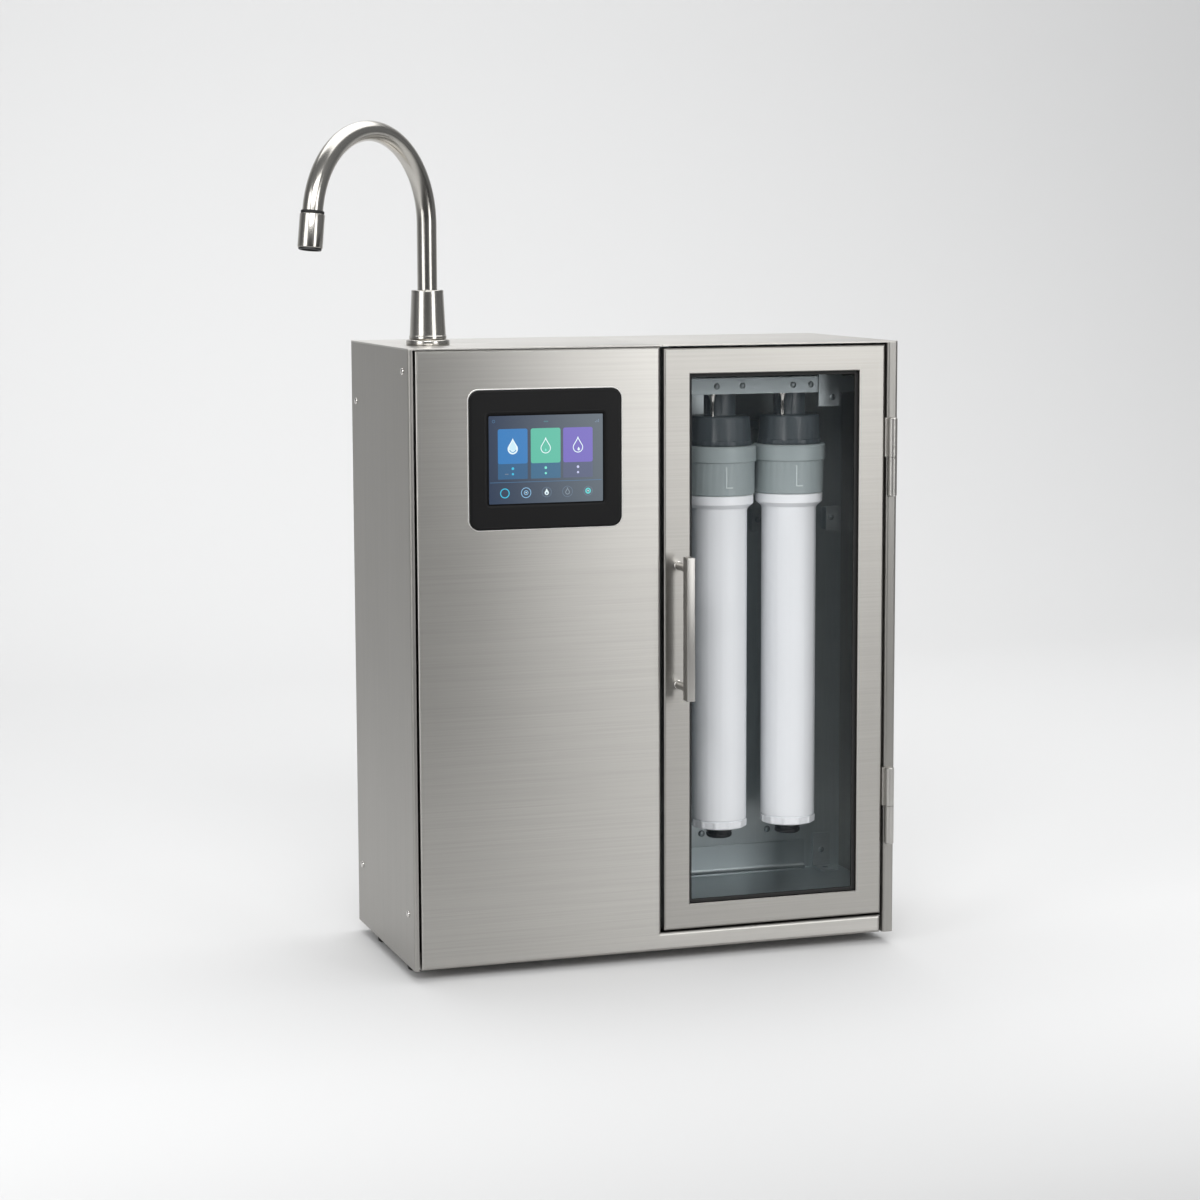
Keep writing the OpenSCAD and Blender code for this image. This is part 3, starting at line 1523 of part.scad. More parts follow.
drain_fitting();
water_hoses();
power_supply();
control_board();
mains_inlet();
power_rocker();
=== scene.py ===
# %% [markdown]
# # A stainless water ionizer
#
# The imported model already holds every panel, hinge and hose in its place, in metres. This lesson dresses it:
# it gives each sheet its brushing, each moulding its grain, and remodels the pieces whose soft edges and
# small recesses catch the light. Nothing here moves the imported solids.

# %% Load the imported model
import json
import math

import bmesh
import bpy
from mathutils import Matrix, Vector


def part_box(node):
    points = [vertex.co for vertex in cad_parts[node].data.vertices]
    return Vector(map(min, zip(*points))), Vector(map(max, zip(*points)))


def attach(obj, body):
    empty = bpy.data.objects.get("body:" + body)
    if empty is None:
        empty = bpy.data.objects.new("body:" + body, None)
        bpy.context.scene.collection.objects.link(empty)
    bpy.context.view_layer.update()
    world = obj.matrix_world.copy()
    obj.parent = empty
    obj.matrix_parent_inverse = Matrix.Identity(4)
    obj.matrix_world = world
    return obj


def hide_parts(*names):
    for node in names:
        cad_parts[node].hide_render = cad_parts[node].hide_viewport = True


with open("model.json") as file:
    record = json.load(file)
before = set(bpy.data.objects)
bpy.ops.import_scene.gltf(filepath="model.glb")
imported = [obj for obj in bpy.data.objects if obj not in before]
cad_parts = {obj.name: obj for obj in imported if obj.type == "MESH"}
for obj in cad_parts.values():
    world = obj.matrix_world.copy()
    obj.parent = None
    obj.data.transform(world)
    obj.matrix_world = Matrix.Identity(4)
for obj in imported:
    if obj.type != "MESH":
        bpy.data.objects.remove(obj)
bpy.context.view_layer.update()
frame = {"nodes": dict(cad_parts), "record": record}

MM = 0.001
nodes = frame["nodes"]
scene = bpy.context.scene

# %% [markdown]
# ## The camera
#
# The photograph was taken from the left of the front, a little above the cabinet's top, with a long lens, so
# that the uprights stay nearly parallel. A lens of about 87 mm at three metres gives the same perspective.
# A look-at matrix points the camera, and a last turn of a fifth of a degree about its own axis brings the
# level edges to the photograph's slope.

# %% Place the camera
def aimed(at, direction):
    return Matrix.Translation(at) @ direction.to_track_quat("-Z", "Y").to_matrix().to_4x4()


eye = Vector((-0.9303, -2.7507, 0.7211))
look = Vector((0.31047, 0.94199, -0.12756))
ROLL = -0.2
lens = bpy.data.cameras.new("photo_camera")
lens.sensor_fit = "HORIZONTAL"
lens.sensor_width = 36.0
lens.lens = 86.92
lens.clip_end = 100.0
camera = bpy.data.objects.new("photo_camera", lens)
camera.matrix_world = aimed(eye, look) @ Matrix.Rotation(math.radians(ROLL), 4, "Z")
scene.collection.objects.link(camera)
scene.camera = camera
print("camera at", [round(c, 3) for c in eye])

# %% [markdown]
# ## Colours and nodes
#
# Colours are written as the sRGB hex values that an eye would pick from a sample, and shaders want linear
# light, so one function turns the first into the second. A second small function adds a shader node, sets its
# values and makes its links in a single call. The others are steps that several recipes share: a noise, a new
# range for a value, a ramp of colours, a mottled tone and a bump.

# %% Small helpers for materials
def linear(hex_colour):
    parts = [int(hex_colour[i:i + 2], 16) / 255 for i in (1, 3, 5)]
    return [c / 12.92 if c <= 0.04045 else ((c + 0.055) / 1.055) ** 2.4 for c in parts] + [1.0]


def add(tree, kind, values=None, links=None, **settings):
    made = tree.nodes.new("ShaderNode" + kind)
    for key, value in settings.items():
        setattr(made, key, value)
    for socket, value in (values or {}).items():
        made.inputs[socket].default_value = value
    for socket, source in (links or {}).items():
        tree.links.new(source, made.inputs[socket])
    return made


def finish(name, colour, **sockets):
    made = bpy.data.materials.new(name)
    made.use_nodes = True
    shader = made.node_tree.nodes["Principled BSDF"]
    shader.inputs["Base Color"].default_value = linear(colour)
    for socket, value in sockets.items():
        shader.inputs[socket.replace("_", " ")].default_value = value
    return made, made.node_tree, shader


def place_on(tree):
    return add(tree, "TexCoord").outputs["Object"]


def noise(tree, place, scale, **more):
    return add(tree, "TexNoise", {"Scale": scale, "Detail": 2.0, **more}, {"Vector": place}).outputs["Fac"]


def remap(tree, source, reach, low=0.0, high=1.0, **settings):
    ends = {"From Min": reach[0], "From Max": reach[1], "To Min": low, "To Max": high}
    return add(tree, "MapRange", ends, {"Value": source}, **settings).outputs["Result"]


def ramp(tree, source, *stops):
    made = add(tree, "ValToRGB", None, {"Fac": source})
    marks = made.color_ramp.elements
    while len(marks) < len(stops):
        marks.new(0.5)
    for mark, (at, colour) in zip(marks, stops):
        mark.position, mark.color = at, colour
    return made.outputs["Color"]


def mottle(tree, shader, source, reach, colour, share):
    base = linear(colour)[:3]
    dark = [c * (1 - share) for c in base] + [1.0]
    pale = [min(1.0, c * (1 + share)) for c in base] + [1.0]
    shades = ramp(tree, source, (reach[0], dark), (reach[1], pale))
    tree.links.new(shades, shader.inputs["Base Color"])


def emboss(tree, shader, height, strength, distance):
    made = add(tree, "Bump", {"Strength": strength, "Distance": distance}, {"Height": height})
    tree.links.new(made.outputs["Normal"], shader.inputs["Normal"])


print("white is", linear("#ffffff"))

# %% [markdown]
# ## Brushed stainless sheet
#
# The cabinet is folded from stainless sheet with a number-four finish: an abrasive belt leaves short parallel
# scratches along one direction. Real scratches are about 0.1 mm wide, too fine for a picture of the whole
# cabinet, so they are drawn about 1.3 mm wide and 160 mm long. Noise squeezed across the grain gives the
# scratches. It drives the tone and, away from the front and the sides, also the roughness and a very shallow
# bump; on the broad sheets that face the camera those two would only flicker. The grooves throw light
# sideways, so the shader is anisotropic, with its tangent across the grain: a lamp is smeared across the
# scratches and stays crisp along them. A broad, slow noise adds the faint clouding that a large sheet shows.

# %% Brushed sheet recipe
ALONG_X, ALONG_Y, ALONG_Z = (1, 0, 0), (0, 1, 0), (0, 0, 1)
LEVEL = (1, 1, 0)
FINE_REACH = (0.25, 0.75)
SLOW_REACH = (0.3, 0.7)
CLOUD_SCALE = 6.0
SCRATCH_RELIEF = 0.0003


def brushed_sheet(name, colour, along, across, rough, line=1.3, run=160.0, depth=0.006, streak=0.05,
                  cloud=0.015, spread=0.6, vary=0.01):
    made, tree, shader = finish(name, colour, Metallic=1.0, Anisotropic=spread)
    squeeze = [1 / (run * MM) if a else 1 / (line * MM) for a in along]
    spot = place_on(tree)
    lay = add(tree, "Mapping", {"Scale": squeeze}, {"Vector": spot})
    scratch = noise(tree, lay.outputs["Vector"], 1.0, Roughness=0.6)
    slow = noise(tree, spot, CLOUD_SCALE)
    mottle(tree, shader, scratch, FINE_REACH, colour, streak)
    gloss = remap(tree, scratch, FINE_REACH, rough - vary, rough + vary)
    wander = remap(tree, slow, SLOW_REACH, -cloud, cloud)
    total = add(tree, "Math", None, {0: gloss, 1: wander}, operation="ADD")
    tree.links.new(total.outputs["Value"], shader.inputs["Roughness"])
    emboss(tree, shader, scratch, depth, SCRATCH_RELIEF)
    turn = add(tree, "VectorTransform", vector_type="VECTOR", convert_from="OBJECT", convert_to="WORLD")
    if across:
        turn.inputs["Vector"].default_value = across
    else:
        stored = add(tree, "Attribute", attribute_name="along")
        tree.links.new(stored.outputs["Vector"], turn.inputs["Vector"])
    tree.links.new(turn.outputs["Vector"], shader.inputs["Tangent"])
    return made


# The cabinet is one stainless in toned copies. The top keeps the palest tone. The front, the side and back
# sheets and the door are painted darker, with the door darkest. These darker tones are painted shade.
front_steel = brushed_sheet("brushed_stainless_level_painted_shade", "#a8a6a2", ALONG_X, ALONG_Z, 0.30, spread=0.85,
                            depth=0.0, streak=0.06, cloud=0.01, vary=0.0)
door_steel = brushed_sheet("brushed_stainless_door_painted_shade", "#969490", ALONG_X, ALONG_Z, 0.30, spread=0.8,
                           depth=0.0, cloud=0.01, vary=0.0)
side_steel = brushed_sheet("brushed_stainless_upright_painted_shade", "#a19f9b", ALONG_Z, LEVEL, 0.40, spread=0.5,
                           depth=0.0, streak=0.06, vary=0.0)
top_steel = brushed_sheet("brushed_stainless_top", "#bcbab6", ALONG_X, ALONG_Y, 0.34)
bracket_steel = brushed_sheet("mill_finish_steel", "#aeb5b7", ALONG_X, ALONG_Z, 0.5, run=40.0, spread=0.2)
# The rail takes a darker copy of the bay's mill-finish steel. Its deeper grey is painted shade.
rail_steel_painted_shade = brushed_sheet("mill_finish_rail_painted_shade", "#858c8e", ALONG_X, ALONG_Z, 0.42, run=40.0)
wall_steel = brushed_sheet("dull_grey_steel", "#b4bcbe", ALONG_Z, ALONG_X, 0.4, run=40.0)
tray_steel = brushed_sheet("smooth_rolled_steel", "#a9b1b3", ALONG_X, ALONG_Y, 0.45, run=40.0, depth=0.0,
                           streak=0.02, spread=0.0)
print("sheet finishes", len([m for m in bpy.data.materials if "steel" in m.name or "stainless" in m.name]))

# %% [markdown]
# ## Turned and satin metal
#
# The faucet, handle, hinges and screws are solid stainless with a fine satin. The faucet and the screws are
# smoother than the sheet, so they show the studio as soft light and dark bands. The faucet's lines run round
# its tube, so each light is drawn out along the tube and stays sharp across it. The tube bends, so the
# direction along it is stored on the mesh as an attribute named along.

# %% Satin metals
satin_steel = brushed_sheet("satin_turned_steel", "#cbc9c5", ALONG_X, ALONG_Z, 0.16, line=0.4, run=12.0,
                            depth=0.02, streak=0.03, cloud=0.02, spread=0.0)
faucet_steel = brushed_sheet("satin_turned_tube", "#bebbb5", ALONG_X, None, 0.21, line=0.5, run=0.5,
                             depth=0.0, streak=0.02, cloud=0.005, spread=0.15, vary=0.0)
handle_steel = brushed_sheet("satin_drawn_steel", "#b9b7b3", ALONG_Z, ALONG_X, 0.38, line=0.4, run=60.0,
                             streak=0.04, spread=0.3)
# The trim's near-white tone is a painted highlight, paler than any steel.
trim_painted_highlight = brushed_sheet("blasted_trim_steel_painted_highlight", "#f4f3f0", ALONG_X, ALONG_Z, 0.55, line=0.4, run=20.0,
                               depth=0.01, streak=0.02, cloud=0.01, spread=0.0)
brass = brushed_sheet("turned_brass", "#c39b4d", ALONG_X, ALONG_Z, 0.3, line=0.5, run=10.0, spread=0.0)
print("satin metals", [m.name for m in (satin_steel, faucet_steel, handle_steel, trim_painted_highlight, brass)])

# %% [markdown]
# ## Moulded plastics and rubber
#
# Injection-moulded pieces carry the fine spark-eroded grain of their tool, about a millimetre across. One
# noise at that grain gives a shallow bump, and a slow one lets the gloss and the tone wander a little, as
# they do on a real moulding.

# %% Moulded plastic recipe
BLOTCH_SCALE = 14.0
GLOSS_WANDER = 0.04
GRAIN_RELIEF = 0.0002


def moulded(name, colour, rough, grain_mm, relief=0.06, shade=0.04, **sockets):
    made, tree, shader = finish(name, colour, **sockets)
    spot = place_on(tree)
    grain = noise(tree, spot, 1 / (grain_mm * MM))
    slow = noise(tree, spot, BLOTCH_SCALE)
    gloss = remap(tree, slow, SLOW_REACH, rough - GLOSS_WANDER, rough + GLOSS_WANDER)
    tree.links.new(gloss, shader.inputs["Roughness"])
    mottle(tree, shader, slow, SLOW_REACH, colour, shade)
    emboss(tree, shader, grain, relief, GRAIN_RELIEF)
    return made


black_rubber = moulded("matt_black_rubber", "#131313", 0.62, 0.8)
black_plastic = moulded("black_moulded_plastic", "#1a1a1c", 0.42, 0.9)
bezel_black = moulded("satin_black_bezel", "#080809", 0.42, 0.7, relief=0.03, Specular_IOR_Level=0.2)
# The display's surround is painted shade: a blacker ring where the recess under the bezel lies in shadow.
surround_painted_shade = moulded("display_surround_painted_shade", "#030304", 0.5, 0.7, relief=0.02, Specular_IOR_Level=0.1)
charcoal = moulded("charcoal_moulded_plastic", "#3f464a", 0.36, 0.9)
collar_grey = moulded("grey_moulded_plastic", "#96a0a1", 0.38, 0.9)
# The turning mark's paler grey is a painted highlight along its raised ridge.
mark_painted_highlight = moulded("pale_grey_mark_painted_highlight", "#c6cfd0", 0.38, 0.9)
cartridge_white = moulded("white_moulded_plastic", "#f1f3f6", 0.32, 1.2, relief=0.03, shade=0.015)
cell_white = moulded("natural_moulded_plastic", "#dcdcd6", 0.45, 1.0)
carbon = moulded("pressed_carbon", "#1a1a1a", 0.8, 1.5, relief=0.3)
hose_blue = moulded("soft_blue_tubing", "#8cadcc", 0.35, 1.5)
board_green = moulded("green_circuit_board", "#1b5c3e", 0.45, 1.5)
print("mouldings", len([m for m in bpy.data.materials if "plastic" in m.name]))

# %% [markdown]
# ## Glass
#
# The door holds a plain sheet of float glass with a faint grey tint. A thin flat sheet hardly bends the view,
# so a mostly clear alpha with a glossy face does the job of full refraction and lets the lamps into the bay.

# %% Float glass
GLASS_ALPHA = 0.06
glass, _, _ = finish("clear_float_glass", "#3c4348", Roughness=0.02, Alpha=GLASS_ALPHA, IOR=1.5,
                     Specular_IOR_Level=0.1)
print("glass alpha", GLASS_ALPHA)

# %% [markdown]
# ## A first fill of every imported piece
#
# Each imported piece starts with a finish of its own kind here, read from its slot in the record. The pieces
# that are remodelled below hide theirs.

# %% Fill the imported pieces
finish_of = {
    "brushed_stainless": side_steel, "inner_steel": bracket_steel, "bright_steel": satin_steel,
    "faucet_chrome": faucet_steel, "nut_brass": brass, "black_rubber": black_rubber, "door_glass": glass,
    "bezel_black": bezel_black, "display": bezel_black, "dark_plastic": charcoal,
    "collar_grey": collar_grey, "cartridge_white": cartridge_white, "black_plastic": black_plastic,
    "carbon_block": carbon, "cell_white": cell_white, "hose_blue": hose_blue, "board_green": board_green,
}
for entry in frame["record"]["subparts"]:
    mesh = nodes[entry["node"]].data
    mesh.materials.clear()
    mesh.materials.append(finish_of[entry["material_slot"]])
own_finish = {
    "front_panel": front_steel, "door_frame": door_steel, "bay_back_panel": wall_steel, "divider": wall_steel,
    "bay_tray": tray_steel, "filter_rail": rail_steel_painted_shade, "hinge_post_barrels": handle_steel,
    "hinge_door_barrels": handle_steel,
}
for name, steel in own_finish.items():
    nodes[name].data.materials[0] = steel

# %% [markdown]
# ## Tools for making pieces
#
# A few small tools cover most of the modelling. `turned` spins an outline once round the upright axis, as a
# lathe does. `ease` rounds the edges it is given, and `soften` eases every edge that folds more sharply than
# a limit. `rounded_sheet` makes a flat sheet with round corners, and `thicken` gives a flat sheet a back.
# `piece` welds a mesh, puts it in the scene and makes it ride on its body. `store_along` writes the
# direction that the faucet's finish reads.

# %% Mesh tools
WELD = 1e-6
FORWARD = Matrix.Rotation(math.pi / 2, 3, "X")
BACKWARD = Matrix.Rotation(-math.pi / 2, 3, "X")


def new_verts(bm, before):
    return [v for v in bm.verts if v not in before]


def verts_in(geom):
    return [g for g in geom if isinstance(g, bmesh.types.BMVert)]


def swing(bm, matrix, verts):
    bmesh.ops.rotate(bm, cent=(0, 0, 0), matrix=matrix, verts=verts)


def turned(bm, outline, steps=96):
    before = set(bm.verts)
    chain = [bm.verts.new((r * MM, 0, z * MM)) for r, z in outline]
    edges = [bm.edges.new(pair) for pair in zip(chain, chain[1:])]
    bmesh.ops.spin(bm, geom=chain + edges, cent=(0, 0, 0), axis=(0, 0, 1), angle=math.tau, steps=steps,
                   use_merge=True)
    bmesh.ops.remove_doubles(bm, verts=new_verts(bm, before), dist=WELD)
    return new_verts(bm, before)


def ease(bm, edges, offset, segments=3, clamp=False):
    bmesh.ops.bevel(bm, geom=edges, affect="EDGES", offset=offset, segments=segments, profile=0.5,
                    material=-1, clamp_overlap=clamp)


def soften(bm, offset_mm, limit=30, segments=3, keep=None):
    folds = [e for e in bm.edges if len(e.link_faces) == 2
             and e.calc_face_angle(0) > math.radians(limit) and (keep is None or keep(e))]
    ease(bm, folds, offset_mm * MM, segments, clamp=True)


def rounded_sheet(bm, low, high, y, radius_mm, steps):
    before = set(bm.verts)
    sheet = bmesh.ops.create_grid(bm, x_segments=1, y_segments=1, size=0.5)["verts"]
    bmesh.ops.scale(bm, vec=(high[0] - low[0], high[1] - low[1], 1), verts=sheet)
    swing(bm, FORWARD, sheet)
    bmesh.ops.translate(bm, vec=((low[0] + high[0]) / 2, y, (low[1] + high[1]) / 2), verts=sheet)
    if radius_mm:
        bmesh.ops.bevel(bm, geom=sheet, affect="VERTICES", offset=radius_mm * MM, segments=steps,
                        profile=0.5, material=-1)
    return [f for f in bm.faces if all(v not in before for v in f.verts)]


def thicken(bm, faces, depth):
    grown = bmesh.ops.extrude_face_region(bm, geom=faces, use_keep_orig=True)["geom"]
    bmesh.ops.translate(bm, vec=depth, verts=verts_in(grown))
    return [g for g in grown if isinstance(g, bmesh.types.BMFace)]


def as_object(bm, name, finishes):
    mesh = bpy.data.meshes.new(name)
    bm.to_mesh(mesh)
    bm.free()
    for each in finishes:
        mesh.materials.append(each)
    mesh.shade_smooth()
    made = bpy.data.objects.new(name, mesh)
    scene.collection.objects.link(made)
    return made


def piece(bm, name, body, finishes, replaced=(), crease=35):
    bmesh.ops.remove_doubles(bm, verts=bm.verts, dist=WELD)
    bmesh.ops.recalc_face_normals(bm, faces=bm.faces)
    made = as_object(bm, name, finishes)
    made.data.set_sharp_from_angle(angle=math.radians(crease))
    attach(made, body)
    if replaced:
        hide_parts(*replaced)
    print(name, "faces", len(made.data.polygons))
    return made


def store_along(made, direction_at):
    layer = made.data.attributes.new("along", "FLOAT_VECTOR", "POINT")
    for vert in made.data.vertices:
        layer.data[vert.index].vector = direction_at(vert.co)


def upright(place):
    return Vector((0, 0, 1))


def middle(node):
    low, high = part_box(node)
    return (low + high) / 2


# %% [markdown]
# ## Eased edges on the top
#
# A cut sheet is deburred, and the small round on the front edge of the top draws a thin bright line along
# it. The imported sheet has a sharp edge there, so a copy of its mesh is joined into whole faces and its upper
# edges are bevelled by half a millimetre.

# %% Top sheets
for node, name in (("top_panel", "top_sheet_eased"), ("bay_top_panel", "bay_top_sheet_eased")):
    top_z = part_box(node)[1].z
    bm = bmesh.new()
    bm.from_mesh(nodes[node].data)
    bmesh.ops.remove_doubles(bm, verts=bm.verts, dist=WELD)
    bmesh.ops.dissolve_limit(bm, angle_limit=math.radians(1), verts=bm.verts, edges=bm.edges)
    soften(bm, 0.5, limit=60, keep=lambda e: min(v.co.z for v in e.verts) > top_z - 1e-5)
    piece(bm, name, "cabinet", [top_steel], [node])

# %% [markdown]
# ## The faucet's foot
#
# A flange sits on the cabinet and a tapered body stands on it, both turned from bar. They could be cylinders
# with a bevel modifier; spinning one outline each keeps the taper, the groove between them and the round top
# edge in two short lists.

# %% Flange and body
STEM_R = 9.6
TAPER = 2.5
FLANGE_EDGE = 0.018
foot = middle("faucet_body")
flange_low, flange_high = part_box("faucet_flange")
body_low, body_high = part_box("faucet_body")
flange_r = (flange_high.x - flange_low.x) / 2 / MM
body_r = (body_high.x - body_low.x) / 2 / MM
flange_h = (flange_high.z - flange_low.z) / MM
body_h = (body_high.z - body_low.z) / MM

bm = bmesh.new()
turned(bm, [(STEM_R, 0), (flange_r, 0), (flange_r, flange_h - 1.0), (body_r + 0.4, flange_h),
            (STEM_R, flange_h), (STEM_R, 0)])
soften(bm, 0.8, keep=lambda e: e.verts[0].co.xy.length > FLANGE_EDGE)
bmesh.ops.translate(bm, vec=(foot.x, foot.y, flange_low.z), verts=bm.verts)
flange = piece(bm, "faucet_flange_turned", "cabinet", [faucet_steel], ["faucet_flange"])
store_along(flange, upright)

bm = bmesh.new()
turned(bm, [(STEM_R, 8), (STEM_R, 0), (body_r - 0.8, 0), (body_r, 0.8), (body_r, 3.0), (body_r - 0.5, 3.6),
            (body_r - TAPER, body_h - 3.0), (body_r - TAPER, body_h), (STEM_R, body_h), (STEM_R, 8)])
soften(bm, 0.9, limit=40, keep=lambda e: e.verts[0].co.z > 0.9 * body_h * MM)
bmesh.ops.translate(bm, vec=(foot.x, foot.y, body_low.z), verts=bm.verts)
body = piece(bm, "faucet_body_turned", "cabinet", [faucet_steel], ["faucet_body"])
store_along(body, upright)

# %% [markdown]
# ## The gooseneck
#
# The spout is one bent tube. A curve with a round bevel would do, but a circle that is extruded up the
# straight stretch and then spun round the bend's own centre gives even quads and an exact radius, and a bmesh
# can be turned to the faucet's resting direction in one rotation.

# %% Spout tube
BEND = 86.0
SWEEP = 172.0
TURN = 38.0
TUBE_R = 9.5
tube_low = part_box("spout_tube")[0].z
spout_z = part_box("spout_tube")[1].z - (BEND + TUBE_R) * MM
at_foot = Matrix.Translation((foot.x, foot.y, 0)) @ Matrix.Rotation(math.radians(180 + TURN), 4, "Z")

bm = bmesh.new()
ring = bmesh.ops.create_circle(bm, cap_ends=True, segments=48, radius=TUBE_R * MM)["verts"]
bmesh.ops.translate(bm, vec=(0, 0, tube_low), verts=ring)
cap = thicken(bm, bm.faces[:], (0, 0, spout_z - tube_low))
rim = list({e for f in cap for e in f.edges}) + list({v for f in cap for v in f.verts}) + cap
bmesh.ops.spin(bm, geom=rim, cent=(BEND * MM, 0, spout_z), axis=(0, 1, 0), angle=math.radians(SWEEP),
               steps=72)
bmesh.ops.transform(bm, matrix=at_foot, verts=bm.verts)
gooseneck = piece(bm, "gooseneck_tube", "spout", [faucet_steel], ["spout_tube"])


def along_tube(place):
    here = at_foot.inverted() @ place
    if here.z <= spout_z:
        return upright(place)
    turn = math.atan2(here.z - spout_z, BEND * MM - here.x)
    return at_foot.to_3x3() @ Vector((math.sin(turn), 0, math.cos(turn)))


store_along(gooseneck, along_tube)

# %% [markdown]
# ## The nozzle
#
# A black ring and a satin sleeve close the spout, and a dark aerator shows a thin rim at its mouth. All are
# turned outlines, made upright at the origin and carried to the spout's end by one matrix: round the bend,
# then round to the resting direction.

# %% Ring and nozzle
RING_H = 3.0
NOZZLE_L = 31.0
NOZZLE_R = 11.5
BORE_R = 10.0
SLEEVE_EDGE = 0.0095
mouth = RING_H + NOZZLE_L
spout_end = (at_foot @ Matrix.Translation((BEND * MM, 0, spout_z))
             @ Matrix.Rotation(math.radians(SWEEP), 4, "Y") @ Matrix.Translation((-BEND * MM, 0, 0)))

bm = bmesh.new()
turned(bm, [(7.0, 0), (10.3, 0), (10.75, 0.5), (10.75, RING_H - 0.5), (10.3, RING_H), (7.0, RING_H),
            (7.0, 0)], 64)
bmesh.ops.transform(bm, matrix=spout_end, verts=bm.verts)
piece(bm, "nozzle_seal_ring", "spout", [black_rubber], ["nozzle_ring"])

bm = bmesh.new()
turned(bm, [(8.3, RING_H), (NOZZLE_R, RING_H), (NOZZLE_R, mouth), (BORE_R, mouth), (BORE_R, RING_H + 4),
            (8.3, RING_H + 4), (8.3, RING_H)], 64)
soften(bm, 0.7, limit=60, keep=lambda e: e.verts[0].co.xy.length > SLEEVE_EDGE)
bmesh.ops.transform(bm, matrix=spout_end, verts=bm.verts)
sleeve = piece(bm, "nozzle_sleeve", "spout", [faucet_steel], ["nozzle"])
store_along(sleeve, lambda place: spout_end.to_3x3() @ upright(place))

bm = bmesh.new()
turned(bm, [(8.6, mouth - 1.0), (9.9, mouth - 1.0), (10.6, mouth), (10.6, mouth + 1.4), (10.1, mouth + 1.9),
            (8.6, mouth + 1.9), (8.6, mouth - 1.0)], 64)
bmesh.ops.transform(bm, matrix=spout_end, verts=bm.verts)
piece(bm, "aerator_rim", "spout", [black_plastic])

# %% [markdown]
# ## The handle
#
# A square bar on two round posts. The real bar is drawn and its edges are eased, so a cube is stretched to
# the bar's size and every edge bevelled; the posts are turned with a small foot washer.

# %% Bar and posts
bar_low, bar_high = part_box("handle_bar")
post_low, post_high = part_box("handle_posts")
bm = bmesh.new()
bar = bmesh.ops.create_cube(bm, size=1.0)["verts"]
bmesh.ops.scale(bm, vec=bar_high - bar_low, verts=bar)
bmesh.ops.translate(bm, vec=(bar_low + bar_high) / 2, verts=bar)
ease(bm, bm.edges[:], 0.7 * MM)
piece(bm, "handle_bar_eased", "door", [handle_steel], ["handle_bar"])

post_r = (post_high.x - post_low.x) / 2 / MM
post_l = (post_high.y - post_low.y) / MM
bm = bmesh.new()
for z in (post_low.z + post_r * MM, post_high.z - post_r * MM):
    made = turned(bm, [(0, 0), (post_r + 0.5, 0), (post_r + 0.5, 0.8), (post_r + 0.2, 1.1), (post_r, 1.1),
                       (post_r, post_l), (0, post_l)], 48)
    swing(bm, FORWARD, made)
    bmesh.ops.translate(bm, vec=((post_low.x + post_high.x) / 2, post_high.y, z), verts=made)
piece(bm, "handle_posts_turned", "door", [satin_steel], ["handle_posts"])

# %% [markdown]
# ## Screws
#
# Small pan-head screws hold the sides and the bay's brackets. Each head is a spun dome; the cross recess is
# cut by pushing four of its sectors and the middle face down the axis, which needs no boolean. The packed
# screws of one kind are a single mesh, so its islands tell where the heads go.

# %% Screw heads
SCREW_R = 3.5
SCREW_H = 2.0
SECTORS = 16
DOME = ((1.0, 0.0), (1.0, 0.30), (0.95, 0.52), (0.80, 0.76), (0.58, 0.92), (0.18, 1.0))
WALL_SCREWS = (0.094, 0.167)
WALL_SCREW_Z = 0.096


def screw_head(bm, at, facing):
    before = set(bm.verts)
    turned(bm, [(r * SCREW_R, h * SCREW_H) for r, h in DOME], SECTORS)
    rims = [e for e in bm.edges if e.is_boundary and e.verts[0] not in before]
    bmesh.ops.edgeloop_fill(bm, edges=rims)
    sector = math.tau / SECTORS
    cross = [f for f in bm.faces if f.verts[0] not in before and f.normal.z > 0.5
             and f.calc_center_median().xy.length < 0.5 * SCREW_R * MM]
    cross = [f for f in cross if len(f.verts) > 4
             or (math.atan2(*f.calc_center_median().yx) // sector) % 4 == 0]
    sunk = bmesh.ops.extrude_face_region(bm, geom=cross)["geom"]
    bmesh.ops.translate(bm, vec=(0, 0, -0.55 * SCREW_H * MM), verts=verts_in(sunk))
    made = new_verts(bm, before)
    swing(bm, Vector(facing).to_track_quat("Z", "Y").to_matrix(), made)
    bmesh.ops.translate(bm, vec=at, verts=made)


def island_boxes(node):
    bm = bmesh.new()
    bm.from_mesh(nodes[node].data)
    bmesh.ops.remove_doubles(bm, verts=bm.verts, dist=WELD)
    boxes = []
    todo = set(bm.verts)
    while todo:
        island, stack = set(), [todo.pop()]
        while stack:
            vert = stack.pop()
            island.add(vert)
            near = [e.other_vert(vert) for e in vert.link_edges]
            stack += [v for v in near if v in todo]
            todo -= set(near)
        corners = [[v.co[i] for v in island] for i in range(3)]
        boxes.append((Vector(map(min, corners)), Vector(map(max, corners))))
    bm.free()
    return boxes


bm = bmesh.new()
for low, high in island_boxes("side_screws"):
    left = low.x < 0
    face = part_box("left_side_panel")[0].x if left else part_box("right_side_panel")[1].x
    screw_head(bm, (face, (low.y + high.y) / 2, (low.z + high.z) / 2), (-1 if left else 1, 0, 0))
piece(bm, "side_screw_heads", "cabinet", [satin_steel], ["side_screws"], crease=28)

